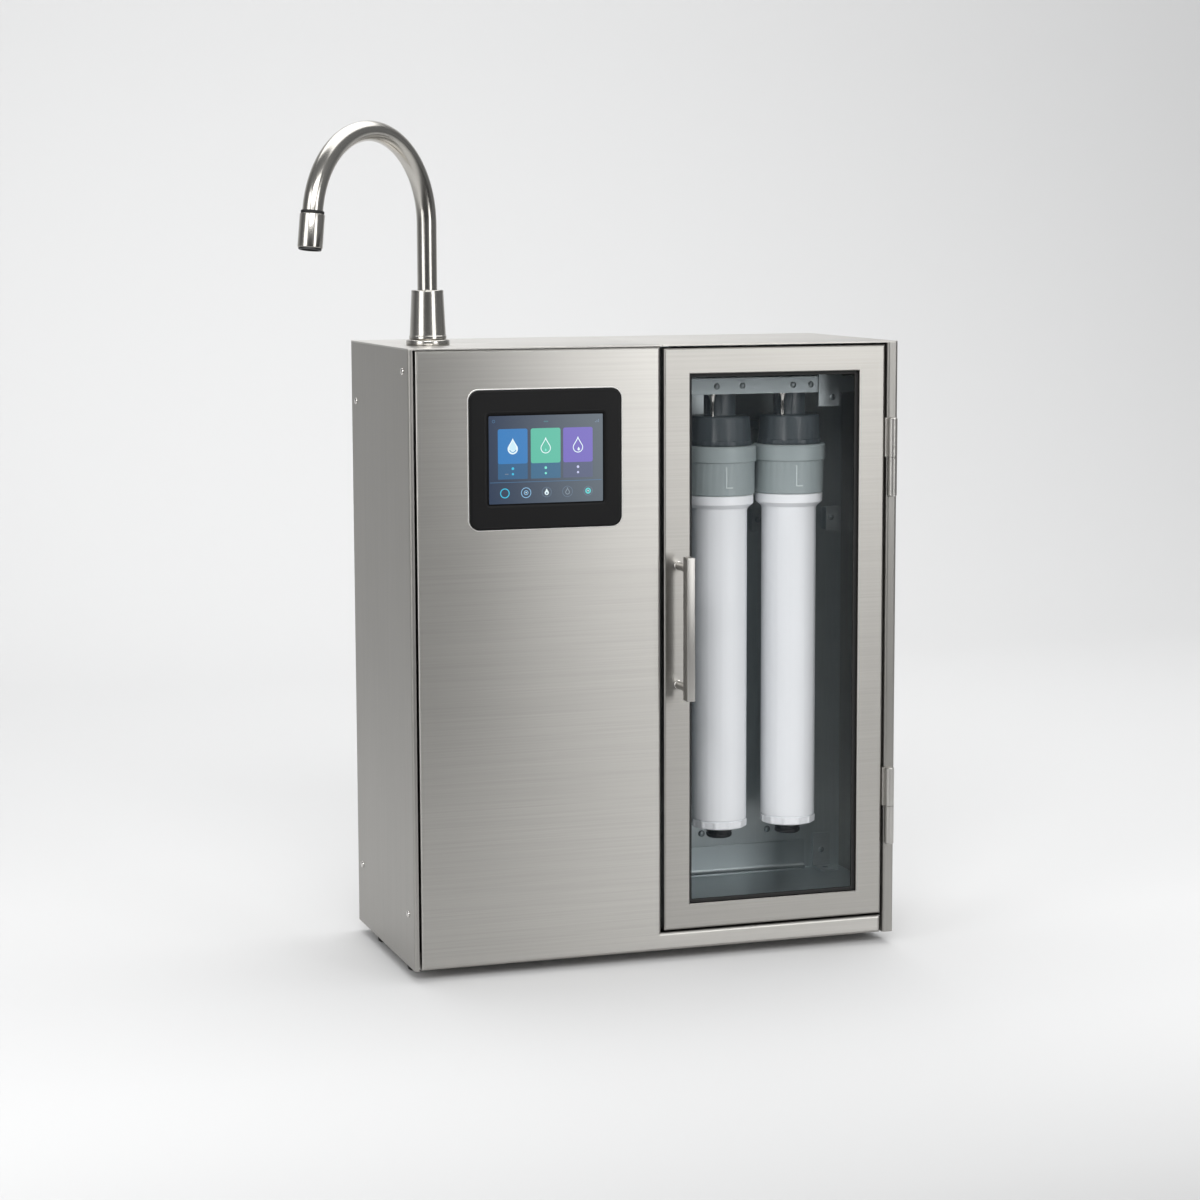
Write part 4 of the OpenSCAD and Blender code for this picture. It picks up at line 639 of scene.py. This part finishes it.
bm = bmesh.new()
for low, high in island_boxes("bay_screws"):
    centre = (low + high) / 2
    if high.y - low.y > 1.5 * SCREW_R * MM:
        screw_head(bm, (centre.x, centre.y, high.z - SCREW_H * MM), (0, 0, 1))
    else:
        screw_head(bm, (centre.x, low.y + SCREW_H * MM, centre.z), (0, -1, 0))
wall_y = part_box("bay_back_panel")[0].y
for x in WALL_SCREWS:
    screw_head(bm, (x, wall_y, WALL_SCREW_Z), (0, -1, 0))
# The bay's screw heads share the rail's darker steel, whose deeper grey is painted shade.
piece(bm, "bay_screw_heads", "cabinet", [rail_steel_painted_shade], ["bay_screws"], crease=28)

# %% [markdown]
# ## Hanger bolts
#
# Two bolts beside each neck hold the head to the rail. Each has a cone washer at its top, drawn as one
# outline with the bolt and turned in place.

# %% Bolts and cone washers
bm = bmesh.new()
for low, high in island_boxes("head_hangers"):
    length = (high.z - low.z) / MM
    made = turned(bm, [(0, 0), (2.0, 0), (2.0, length - 8.0), (2.3, length - 7.0), (4.2, length - 1.4),
                       (4.5, length - 1.0), (4.5, length - 0.1), (0, length - 0.1)], 24)
    bmesh.ops.translate(bm, vec=((low.x + high.x) / 2, (low.y + high.y) / 2, low.z), verts=made)
piece(bm, "hanger_bolts_turned", "cabinet", [satin_steel], ["head_hangers"])

# %% [markdown]
# ## The screen's bezel
#
# A black moulded frame with round corners, held to the panel inside a thin trim whose near-white tone is a
# painted highlight. Two rounded sheets of the same point count are bridged into a flat ring, the ring is
# thickened, its edges are eased, and an inset with a small drop leaves the fine step that runs just inside its
# edge. A blacker surround frames the display; its black is painted shade for the recess under the bezel.

# %% Bezel and trim
BEZEL_R = 10.0
VIEW_R = 1.0
SURROUND = 1.2
TRIM = 1.1
TRIM_PROUD = 0.9
panel_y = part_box("front_panel")[0].y
bezel_low, bezel_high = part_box("screen_bezel")
view_low, view_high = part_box("screen_display")


def flat_ring(bm, outer_low, outer_high, outer_r, inner_low, inner_high, inner_r, y):
    faces = rounded_sheet(bm, outer_low, outer_high, y, outer_r, 8)
    faces += rounded_sheet(bm, inner_low, inner_high, y, inner_r, 8)
    edges = list({e for f in faces for e in f.edges})
    bmesh.ops.delete(bm, geom=faces, context="FACES_ONLY")
    return bmesh.ops.bridge_loops(bm, edges=edges)["faces"]


def corner(point, grow_mm=0.0):
    return point.x + grow_mm * MM, point.z + grow_mm * MM


bm = bmesh.new()
flat = flat_ring(bm, corner(bezel_low), corner(bezel_high), BEZEL_R, corner(view_low, -SURROUND),
                 corner(view_high, SURROUND), VIEW_R + SURROUND, bezel_low.y)
thicken(bm, flat, (0, panel_y - bezel_low.y, 0))
front = [f for f in bm.faces if all(abs(v.co.y - bezel_low.y) < WELD for v in f.verts)]
bmesh.ops.recalc_face_normals(bm, faces=bm.faces)
rim = {e for f in front for e in f.edges if e.calc_face_angle(0) > 1.0}
ease(bm, list(rim), 0.9 * MM)
front = [f for f in bm.faces
         if f.normal.y < -0.99 and abs(f.calc_center_median().y - bezel_low.y) < WELD]
bmesh.ops.inset_region(bm, faces=front, thickness=1.6 * MM, use_even_offset=True)
bmesh.ops.inset_region(bm, faces=front, thickness=0.35 * MM, depth=-0.25 * MM, use_even_offset=True)
piece(bm, "screen_bezel_frame", "cabinet", [bezel_black], ["screen_bezel"])

# The blacker surround round the display is painted shade for the recess under the bezel.
bm = bmesh.new()
flat = flat_ring(bm, corner(view_low, -SURROUND - 0.3), corner(view_high, SURROUND + 0.3),
                 VIEW_R + SURROUND + 0.3, corner(view_low, 0.1), corner(view_high, -0.1), VIEW_R,
                 view_low.y - 0.3 * MM)
thicken(bm, flat, (0, 0.2 * MM, 0))
piece(bm, "display_surround", "cabinet", [surround_painted_shade])

# The trim's near-white steel is a painted highlight all round the bezel.
bm = bmesh.new()
flat = flat_ring(bm, corner(bezel_low, -TRIM), corner(bezel_high, TRIM), BEZEL_R + TRIM,
                 corner(bezel_low, 0.15), corner(bezel_high, -0.15), BEZEL_R - 0.15,
                 panel_y - TRIM_PROUD * MM)
thicken(bm, flat, (0, TRIM_PROUD * MM, 0))
bmesh.ops.recalc_face_normals(bm, faces=bm.faces)
soften(bm, 0.4, limit=60, segments=2, keep=lambda e: min(v.co.y for v in e.verts) < panel_y - 0.5 * MM)
piece(bm, "screen_trim", "cabinet", [trim_painted_highlight])

# %% [markdown]
# ## The display
#
# The lit panel shades from deep blue on the left to slate on the right. The ramp runs on Object coordinates,
# so it stays with the panel. The picture on it is generic: three coloured tiles with water drops, small marks
# below them and a row of round buttons. Each mark is a plate less than a tenth of a millimetre thick, lit by
# its own colour.

# %% Lit panel
panel_lit, lit_tree, lit_shader = finish("lit_display_panel", "#0d1116", Roughness=0.16,
                                         Emission_Strength=0.9)
place = add(lit_tree, "SeparateXYZ", None, {"Vector": place_on(lit_tree)})
share = remap(lit_tree, place.outputs["X"], (view_low.x, view_high.x))
glow = ramp(lit_tree, share, (0.0, linear("#22344f")), (1.0, linear("#44535f")))
lit_tree.links.new(glow, lit_shader.inputs["Emission Color"])
nodes["screen_display"].data.materials[0] = panel_lit
print("display", [round(c / MM) for c in view_high - view_low])


# %% Lit colours
def lit(name, colour):
    return finish(name, "#0b0d10", Roughness=0.2, Emission_Color=linear(colour), Emission_Strength=0.95)[0]


lit_names = {"blue": "#2479bc", "green": "#55bca2", "violet": "#7062bd", "blue_low": "#225a84",
             "green_low": "#2b6487", "violet_low": "#4b5575", "white": "#e9fbff", "cyan": "#36c3e6",
             "ice": "#cdeefa", "sky": "#4f9fd4", "mint": "#79ead4", "lavender": "#c9cdf2",
             "line": "#3f6d94", "faint": "#63788e", "teal": "#58cfd0", "pale": "#8fc6ee",
             "glyph": "#7d8c99", "dim": "#3a6b78"}
lit_finishes = [lit("lit_" + name, colour) for name, colour in lit_names.items()]
lit_index = {name: i for i, name in enumerate(lit_names)}
print("lit colours", len(lit_finishes))

# %% [markdown]
# ### Marks on the display
#
# Every mark is placed by its share of the display's width and height. A drop is a circle whose upper quarter
# is drawn up to a point along two nearly straight flanks; an outline is the same face, inset, with its middle
# left out. Each mark lies one thin layer above the one under it.

# %% Drawing marks
FACE = view_low.y
LAYER = 0.08 * MM
SHOULDER, SHOULDER_W, FLANK, TIP = 0.5, 0.866, 1.1, 1.5
ARC_STEPS = 12
view_w = view_high.x - view_low.x
view_h = view_high.z - view_low.z


def on_view(u, v):
    return view_low.x + u * view_w, view_high.z - v * view_h


def colour_plate(bm, faces, colour, layer):
    before = set(bm.faces)
    thicken(bm, faces, (0, -LAYER * 0.9, 0))
    made = [f for f in bm.faces if f not in before or f in faces]
    for f in made:
        f.material_index = lit_index[colour]
    verts = {v for f in made for v in f.verts}
    bmesh.ops.translate(bm, vec=(0, -LAYER * layer, 0), verts=list(verts))


def tile(bm, u0, v0, u1, v1, radius_mm, colour, layer=0):
    x0, z1 = on_view(u0, v0)
    x1, z0 = on_view(u1, v1)
    colour_plate(bm, rounded_sheet(bm, (x0, z0), (x1, z1), FACE, radius_mm, 4), colour, layer)


def disc(bm, u, v, radius_mm, colour, layer=0, ring_mm=0.0, drop=False):
    x, z = on_view(u, v)
    r = radius_mm * MM
    before = set(bm.verts)
    made = bmesh.ops.create_circle(bm, cap_ends=True, segments=48, radius=r)["verts"]
    swing(bm, FORWARD, made)
    for vert in made:
        rise = (vert.co.z / r - SHOULDER) / (1 - SHOULDER)
        if drop and rise > 0:
            vert.co.x = math.copysign(SHOULDER_W * r * (1 - min(rise, 1.0)) ** FLANK, vert.co.x)
            vert.co.z = r * (SHOULDER + TIP * rise)
    bmesh.ops.translate(bm, vec=(x, FACE, z), verts=made)
    faces = [f for f in bm.faces if f.verts[0] not in before]
    if ring_mm:
        band = bmesh.ops.inset_region(bm, faces=faces, thickness=ring_mm * MM, use_boundary=True,
                                      use_even_offset=True)["faces"]
        bmesh.ops.delete(bm, geom=faces, context="FACES_ONLY")
        faces = band
    colour_plate(bm, faces, colour, layer)


def arc(bm, u, v, radius_mm, width_mm, start, end, colour, layer=0):
    x, z = on_view(u, v)
    turns = [math.radians(start + (end - start) * k / ARC_STEPS) for k in range(ARC_STEPS + 1)]
    inner, outer = [[bm.verts.new((x + r * MM * math.cos(t), FACE, z + r * MM * math.sin(t))) for t in turns]
                    for r in (radius_mm - width_mm / 2, radius_mm + width_mm / 2)]
    faces = [bm.faces.new((inner[k], inner[k + 1], outer[k + 1], outer[k])) for k in range(ARC_STEPS)]
    colour_plate(bm, faces, colour, layer)


# %% Tiles, drops and buttons
TILES = ((0.080, 0.338, "blue", "cyan"), (0.366, 0.626, "green", "mint"),
         (0.649, 0.909, "violet", "lavender"))
BUTTONS = (0.138, 0.323, 0.503, 0.686, 0.867)
TILE_TOP, TILE_END, LOW_END, LINE_V, BUTTON_V, DROP_V = 0.150, 0.545, 0.720, 0.752, 0.878, 0.377
DOTS = ((0.600, 1.3), (0.662, 1.1))
bm = bmesh.new()
for u0, u1, colour, dot in TILES:
    tile(bm, u0, TILE_TOP, u1, TILE_END, 2.0, colour, layer=1)
    tile(bm, u0, TILE_END - 0.02, u1, LOW_END, 0.6, colour + "_low")
    mid = (u0 + u1) / 2
    disc(bm, mid, DROP_V, 5.1, "white", layer=2, ring_mm=0.0 if colour == "blue" else 0.8, drop=True)
    if colour == "blue":
        disc(bm, mid, 0.360, 3.2, "ice", layer=3, drop=True)
        arc(bm, mid, DROP_V, 3.2, 0.9, 195, 345, "sky", layer=4)
    elif colour == "green":
        disc(bm, mid, 0.400, 0.9, "mint", layer=2, drop=True)
    else:
        disc(bm, mid + 0.006, 0.400, 1.2, "white", layer=2, drop=True)
    for v, radius in DOTS:
        disc(bm, mid, v, radius, dot, layer=1)
tile(bm, 0.140, 0.656, 0.170, 0.668, 0.0, "faint", layer=1)
tile(bm, 0.010, LINE_V, 0.985, LINE_V + 0.006, 0.0, "line")
piece(bm, "screen_tiles", "cabinet", lit_finishes, crease=20)


def button(bm, which, radius_mm, colour, down=0.0, **more):
    disc(bm, BUTTONS[which], BUTTON_V + down, radius_mm, colour, **more)


bm = bmesh.new()
button(bm, 0, 4.7, "cyan", ring_mm=0.9)
button(bm, 1, 5.0, "pale", ring_mm=0.6)
button(bm, 1, 2.2, "pale", ring_mm=0.6)
button(bm, 1, 0.6, "white")
button(bm, 2, 4.8, "faint", ring_mm=0.4)
button(bm, 2, 2.1, "white", down=0.008, drop=True)
button(bm, 2, 0.9, "faint", down=0.012, layer=1)
button(bm, 3, 5.2, "faint", ring_mm=0.4)
button(bm, 3, 2.3, "glyph", down=0.008, ring_mm=0.8, drop=True)
button(bm, 4, 4.5, "faint", ring_mm=0.4)
button(bm, 4, 2.9, "teal", ring_mm=1.5)
button(bm, 4, 0.6, "white")
disc(bm, 0.045, 0.062, 1.5, "line", ring_mm=0.4)
tile(bm, 0.480, 0.068, 0.520, 0.082, 0.4, "dim")
for step in range(3):
    tile(bm, 0.930 + 0.014 * step, 0.085 - 0.012 * step, 0.938 + 0.014 * step, 0.098, 0.0, "faint")
piece(bm, "screen_buttons", "cabinet", lit_finishes, crease=20)

# %% [markdown]
# ## The filters
#
# Two quarter-turn cartridges hang from fixed dark heads. Everything on them is round, so everything is
# turned: the white cartridge with its flange, foot ring and faint mould lines, the grey collar with its
# raised turning mark, the fluted head and the black plug. Flutes and ribs are columns of the spun mesh moved
# in or out. The mark is two ridges that meet in a corner, each a small outline spun a little way round.

# %% Column tools
STEPS = 96
HEAD_H = 29.0
HEAD_SEAT = 0.4
PORT_X = 14.0


def columns(every, *kept):
    return {c for c in range(STEPS) if c % every in kept}


def column_of(vert):
    return round(math.atan2(vert.co.y, vert.co.x) / (math.tau / STEPS)) % STEPS


def push_columns(verts, chosen, offset_mm, low_mm, high_mm, least_mm):
    for v in verts:
        flat = Vector((v.co.x, v.co.y, 0))
        inside = low_mm * MM - WELD < v.co.z < high_mm * MM + WELD
        if inside and flat.length > least_mm * MM and column_of(v) in chosen:
            v.co += flat.normalized() * offset_mm * MM


print("columns are", round(math.tau * 35 / STEPS, 2), "mm wide on the collar")

# %% [markdown]
# ### Cartridge, collar, head and plug
#
# Heights are in millimetres above the floor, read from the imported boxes, so that each outline seats on the
# next.

# %% One filter
def filter_outline(side):
    ring_low, cart_high = (v.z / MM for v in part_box(side + "_cartridge"))
    collar_low, collar_high = (v.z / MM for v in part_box(side + "_filter_collar"))
    return ring_low, collar_low, collar_high, cart_high


def cartridge(side):
    ring_low, collar_low, _, neck_high = filter_outline(side)
    r, cap_r, neck_r = 27.5, 33.75, 28.0
    body_low, body_high = ring_low + 9.0, collar_low - 10.0
    bm = bmesh.new()
    rows = [body_low + (body_high - body_low) * k / 6 for k in range(1, 6)]
    outline = [(0, ring_low), (r - 2.2, ring_low), (r - 0.5, ring_low + 1.2), (r - 0.2, body_low - 1.2),
               (r - 1.1, body_low - 0.9), (r - 1.1, body_low), (r, body_low + 0.5)]
    outline += [(r, z) for z in rows]
    outline += [(r, body_high - 6), (r + 0.9, body_high - 3.5), (cap_r - 1.4, body_high - 0.4),
                (cap_r, body_high + 1.0), (cap_r, collar_low - 1.0), (cap_r - 0.8, collar_low - 0.1),
                (neck_r, collar_low - 0.1), (neck_r, neck_high), (0, neck_high)]
    verts = turned(bm, outline, STEPS)
    lines, ribs = columns(8, 4), columns(8, 0, 1)
    push_columns(verts, lines, 0.14, body_low, body_high - 5, r - 0.3)
    push_columns(verts, ribs, 0.9, ring_low + 1.0, body_low - 1.0, r - 0.8)
    return bm


def ridge(bm, r, low, high, start, sweep):
    before = set(bm.faces)
    turn = Matrix.Rotation(math.radians(start), 3, "Z")
    spots = ((r - 0.3, low), (r + 0.6, low), (r + 0.6, high), (r - 0.3, high))
    edge = [bm.verts.new(turn @ Vector((x * MM, 0, z * MM))) for x, z in spots]
    face = bm.faces.new(edge)
    bmesh.ops.spin(bm, geom=edge + list(face.edges) + [face], cent=(0, 0, 0), axis=(0, 0, 1),
                   angle=math.radians(sweep), steps=5)
    for made in bm.faces:
        if made not in before:
            made.material_index = 1


def collar(side):
    _, low, high, _ = filter_outline(side)
    step_z = high - 16.0
    r, low_r, bore = 36.5, 35.0, 28.6
    mark_low, mark_start = step_z - 25.0, -100.0
    bm = bmesh.new()
    verts = turned(bm, [(bore, low), (low_r - 0.9, low), (low_r, low + 0.9), (low_r, step_z - 0.8),
                        (low_r + 0.3, step_z), (r - 0.6, step_z), (r, step_z + 0.6), (r, high - 1.4),
                        (r - 1.4, high), (bore - 3, high), (bore - 3, step_z), (bore, step_z),
                        (bore, low)], STEPS)
    push_columns(verts, columns(3, 0), -0.25, low + 0.5, step_z - 0.5, low_r - 0.5)
    # The mark's two ridges take the paler grey, a painted highlight on the raised ridges.
    ridge(bm, low_r, mark_low, step_z - 4.0, mark_start, 1.7)
    ridge(bm, low_r, mark_low, step_z - 24.0, mark_start, 11.5)
    return bm


def port_tubes(bm, side):
    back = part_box(side + "_filter_head")[1].y
    z = (filter_outline(side)[2] + HEAD_SEAT + HEAD_H / 2) * MM
    reach = (back - middle(side + "_cartridge").y) / MM
    for s in (-1, 1):
        made = turned(bm, [(0, 24), (5.5, 24), (5.5, reach - 0.6), (4.9, reach), (4.0, reach), (4.0, 26),
                           (0, 26)], 32)
        swing(bm, BACKWARD, made)
        bmesh.ops.translate(bm, vec=(s * PORT_X * MM, 0, z), verts=made)


def head(side):
    low, top = (v.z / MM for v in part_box(side + "_filter_head"))
    base = filter_outline(side)[2] + HEAD_SEAT
    shoulder = base + HEAD_H
    r, neck_r, spigot_r = 32.5, 16.0, 25.0
    bm = bmesh.new()
    verts = turned(bm, [(0, low), (spigot_r, low), (spigot_r, base), (r - 0.6, base), (r, base + 0.6),
                        (r, base + 4.4), (r - 0.7, base + 5.2), (r - 1.9, shoulder - 3.0),
                        (r - 2.3, shoulder - 1.6), (r - 3.1, shoulder - 0.5), (r - 4.2, shoulder),
                        (neck_r + 1.5, shoulder), (neck_r + 0.4, shoulder + 0.8), (neck_r, shoulder + 2),
                        (neck_r, top - 0.1), (0, top - 0.1)], STEPS)
    panels, bumps, neck_ribs = columns(8, 1, 2, 3, 4, 5), columns(4, 0, 1), columns(16, 4, 5)
    push_columns(verts, panels, -0.5, base + 5.0, shoulder - 2.8, r - 4)
    push_columns(verts, bumps, -0.7, base + 0.4, base + 4.6, r - 1)
    push_columns(verts, neck_ribs, 0.6, shoulder + 1.5, top, neck_r - 0.5)
    port_tubes(bm, side)
    return bm


def plug(side):
    low, high = (v.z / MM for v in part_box(side + "_filter_plug"))
    r = 13.0
    bm = bmesh.new()
    turned(bm, [(0, low + 2.5), (4.0, low + 2.5), (4.6, low + 0.4), (5.0, low), (r - 1.5, low),
                (r, low + 1.5), (r, low + 4.0), (r - 0.8, low + 4.6), (r - 0.8, low + 5.6), (r, low + 6.2),
                (r, high - 0.1), (0, high - 0.1)], 48)
    return bm


for side in ("left", "right"):
    centre = middle(side + "_cartridge")
    body = side + "_filter"
    for make, name, slot, dress, node, on in (
            (cartridge, "cartridge_moulded", "cartridge_white", (cartridge_white,), "_cartridge", body),
            (collar, "collar_moulded", "collar_grey", (collar_grey, mark_painted_highlight), "_filter_collar", body),
            (plug, "plug_moulded", "black_plastic", (black_plastic,), "_filter_plug", body),
            (head, "head_moulded", "dark_plastic", (charcoal,), "_filter_head", "cabinet")):
        bm = make(side)
        bmesh.ops.translate(bm, vec=(centre.x, centre.y, 0), verts=bm.verts)
        piece(bm, side + "_" + name, on, dress, [side + node], crease=24)

# %% [markdown]
# ## Feet
#
# Four rubber feet taper to their soles. They are turned with a rounded sole and a shallow rim at the base.

# %% Rubber feet
FEET_X, FEET_Y, FOOT_R = 0.233, 0.060, 12.0
foot_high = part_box("feet")[1].z / MM
bm = bmesh.new()
for x in (-FEET_X, FEET_X):
    for y in (-FEET_Y, FEET_Y):
        made = turned(bm, [(0, 0.6), (5.0, 0.6), (6.0, 0), (FOOT_R - 3.6, 0), (FOOT_R - 2.4, 1.0),
                           (FOOT_R - 0.6, foot_high - 2.2), (FOOT_R, foot_high - 1.6), (FOOT_R, foot_high),
                           (0, foot_high)], 40)
        bmesh.ops.translate(bm, vec=(x, y, 0), verts=made)
piece(bm, "rubber_feet", "cabinet", [black_rubber], ["feet"])

# %% [markdown]
# ## The thread on the water inlet
#
# The inlet on the back takes a three-quarter-inch hose nut. Its thread is one small triangle spun round the
# stub's axis with a steady drift, which is what the spin operator's `dvec` is for.

# %% Inlet thread
PITCH, TURNS, PER_TURN = 1.8, 6, 40
STUB_R, STUB_IN, STUB_Z, THREAD_IN = 13.1, 20.0, 0.112, 13.5
valve_low, valve_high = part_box("inlet_valve")
bm = bmesh.new()
outline = ((STUB_R - 0.3, -0.8), (STUB_R + 0.35, 0), (STUB_R - 0.3, 0.8))
wedge = [bm.verts.new((r * MM, 0, z * MM)) for r, z in outline]
start = bm.faces.new(wedge)
bmesh.ops.spin(bm, geom=[start] + wedge + list(start.edges), cent=(0, 0, 0), axis=(0, 0, 1),
               dvec=(0, 0, PITCH * MM / PER_TURN), angle=math.tau * TURNS, steps=TURNS * PER_TURN)
bmesh.ops.holes_fill(bm, edges=[e for e in bm.edges if e.is_boundary], sides=0)
swing(bm, BACKWARD, bm.verts)
stub = (valve_low.x + STUB_IN * MM, valve_high.y - THREAD_IN * MM, STUB_Z)
bmesh.ops.translate(bm, vec=stub, verts=bm.verts)
piece(bm, "inlet_thread", "cabinet", [cell_white])

# %% [markdown]
# ## The studio
#
# A product on a pale seamless sheet: the floor runs back and bends up into a wall. The sheet is one grid,
# folded up at the back and bevelled wide along the fold. Its grey is a shade deeper towards the lamps, where
# more light falls, so that the floor in the camera's view renders pale without burning out.

# %% Seamless sheet
def stand(bm, name, material):
    made = as_object(bm, name, [material])
    return made


def flat_card(width, depth, centre_y):
    bm = bmesh.new()
    card = bmesh.ops.create_grid(bm, x_segments=1, y_segments=1, size=0.5)["verts"]
    bmesh.ops.scale(bm, vec=(width, depth, 1), verts=card)
    bmesh.ops.translate(bm, vec=(0, centre_y, 0), verts=card)
    return bm


FADE_AHEAD, FADE_ASIDE, ASIDE_LEAST, SLANT = (-1.25, -0.35), (-1.3, -0.66), 0.62, -0.12


def floor_fade(tree):
    place = add(tree, "SeparateXYZ", None, {"Vector": place_on(tree)}).outputs
    ahead = remap(tree, place["Y"], FADE_AHEAD, interpolation_type="SMOOTHSTEP")
    slant = add(tree, "Math", {1: SLANT}, {0: place["Y"], 2: place["X"]}, operation="MULTIPLY_ADD")
    aside = remap(tree, slant.outputs["Value"], FADE_ASIDE, ASIDE_LEAST, interpolation_type="SMOOTHSTEP")
    return add(tree, "Math", None, {0: ahead, 1: aside}, operation="MINIMUM").outputs["Value"]


WIDE, FRONT, BACK, TALL, FOLD = 40.0, -9.0, 3.0, 6.0, 1.2
paper, paper_tree, paper_shader = finish("pale_paper", "#dcdcdc", Roughness=0.9)
paper_tone = ramp(paper_tree, floor_fade(paper_tree), (0.0, linear("#a8a8a8")), (0.5, linear("#c8c8c8")),
                  (1.0, linear("#dcdcdc")))
paper_tree.links.new(paper_tone, paper_shader.inputs["Base Color"])

bm = flat_card(WIDE, BACK - FRONT, (BACK + FRONT) / 2)
fold = [e for e in bm.edges if all(v.co.y > BACK - 0.01 for v in e.verts)]
wall = bmesh.ops.extrude_edge_only(bm, edges=fold)["geom"]
bmesh.ops.translate(bm, vec=(0, 0, TALL), verts=verts_in(wall))
ease(bm, fold, FOLD, 16)
stand(bm, "studio_sweep", paper)
print("sheet", WIDE, "m wide")

# %% [markdown]
# ### Black cards
#
# Bright metal on a pale sheet would look washed out. A photographer lays black cards where the metal mirrors
# them: one on the floor in front, which darkens the front panel from its left, and one behind the camera,
# which is the dark line down the middle of the faucet. They have soft edges, and only reflections see them.

# %% Soft black cards
CARD_DARK = 0.89
CARD_AWAY = 5.0
CARD_LIFT = 0.004
ROUND_REACH = (0.87, 2.7)
TOWARDS_CAMERA = Vector((-0.317, -0.947, 0.0))


def black_card(name, cover):
    made, tree, shader = finish(name, "#050505", Roughness=1.0, Specular_IOR_Level=0.0)
    tree.links.new(cover(tree), shader.inputs["Alpha"])
    return made


def floor_cover(tree):
    return remap(tree, floor_fade(tree), (0.0, 0.5), CARD_DARK, 0.0)


def round_cover(tree):
    away = add(tree, "VectorMath", None, {0: place_on(tree)}, operation="LENGTH").outputs["Value"]
    return remap(tree, away, ROUND_REACH, CARD_DARK, 0.0, interpolation_type="SMOOTHSTEP")


low_card = stand(flat_card(16.0, 8.6, -4.7), "floor_card", black_card("soft_black_floor_card", floor_cover))
low_card.matrix_world = Matrix.Translation((0, 0, CARD_LIFT))
back_card = stand(flat_card(5.6, 5.6, 0), "camera_card", black_card("soft_black_round_card", round_cover))
back_card.matrix_world = aimed(TOWARDS_CAMERA * CARD_AWAY, TOWARDS_CAMERA)
for card in (low_card, back_card):
    card.visible_camera = card.visible_diffuse = card.visible_shadow = card.visible_transmission = False
print("cards", low_card.name, back_card.name)

# %% [markdown]
# ### Lamps and room
#
# Four large soft lamps light it: one overhead, two in front and one at the left. The room itself is a dim
# even grey.

# %% Lamps and world
def softbox(name, at, toward, size, watts):
    light = bpy.data.lights.new(name, "AREA")
    light.shape = "RECTANGLE"
    light.size, light.size_y = size
    light.energy = watts
    made = bpy.data.objects.new(name, light)
    made.matrix_world = aimed(at, Vector(toward) - Vector(at))
    made.visible_camera = False
    scene.collection.objects.link(made)


softbox("overhead", (0.5, 0.9, 3.2), (0.3, 0.7, 0.0), (4.4, 3.4), 105)
softbox("front_right", (1.38, -3.2, 0.98), (0.1, 0, 0.4), (1.1, 1.9), 25)
softbox("front_key", (-1.0, -3.7, 2.8), (0.1, 0, 0.3), (3.0, 1.6), 114)
softbox("left_front", (-1.95, -1.1, 0.95), (0, 0, 0.5), (1.0, 1.8), 16)

ROOM_LIGHT = 0.28
world = bpy.data.worlds.new("studio")
scene.world = world
world.use_nodes = True
background = world.node_tree.nodes["Background"].inputs
background["Color"].default_value = linear("#e6e8ea")
background["Strength"].default_value = ROOM_LIGHT
scene.view_settings.view_transform = "Standard"
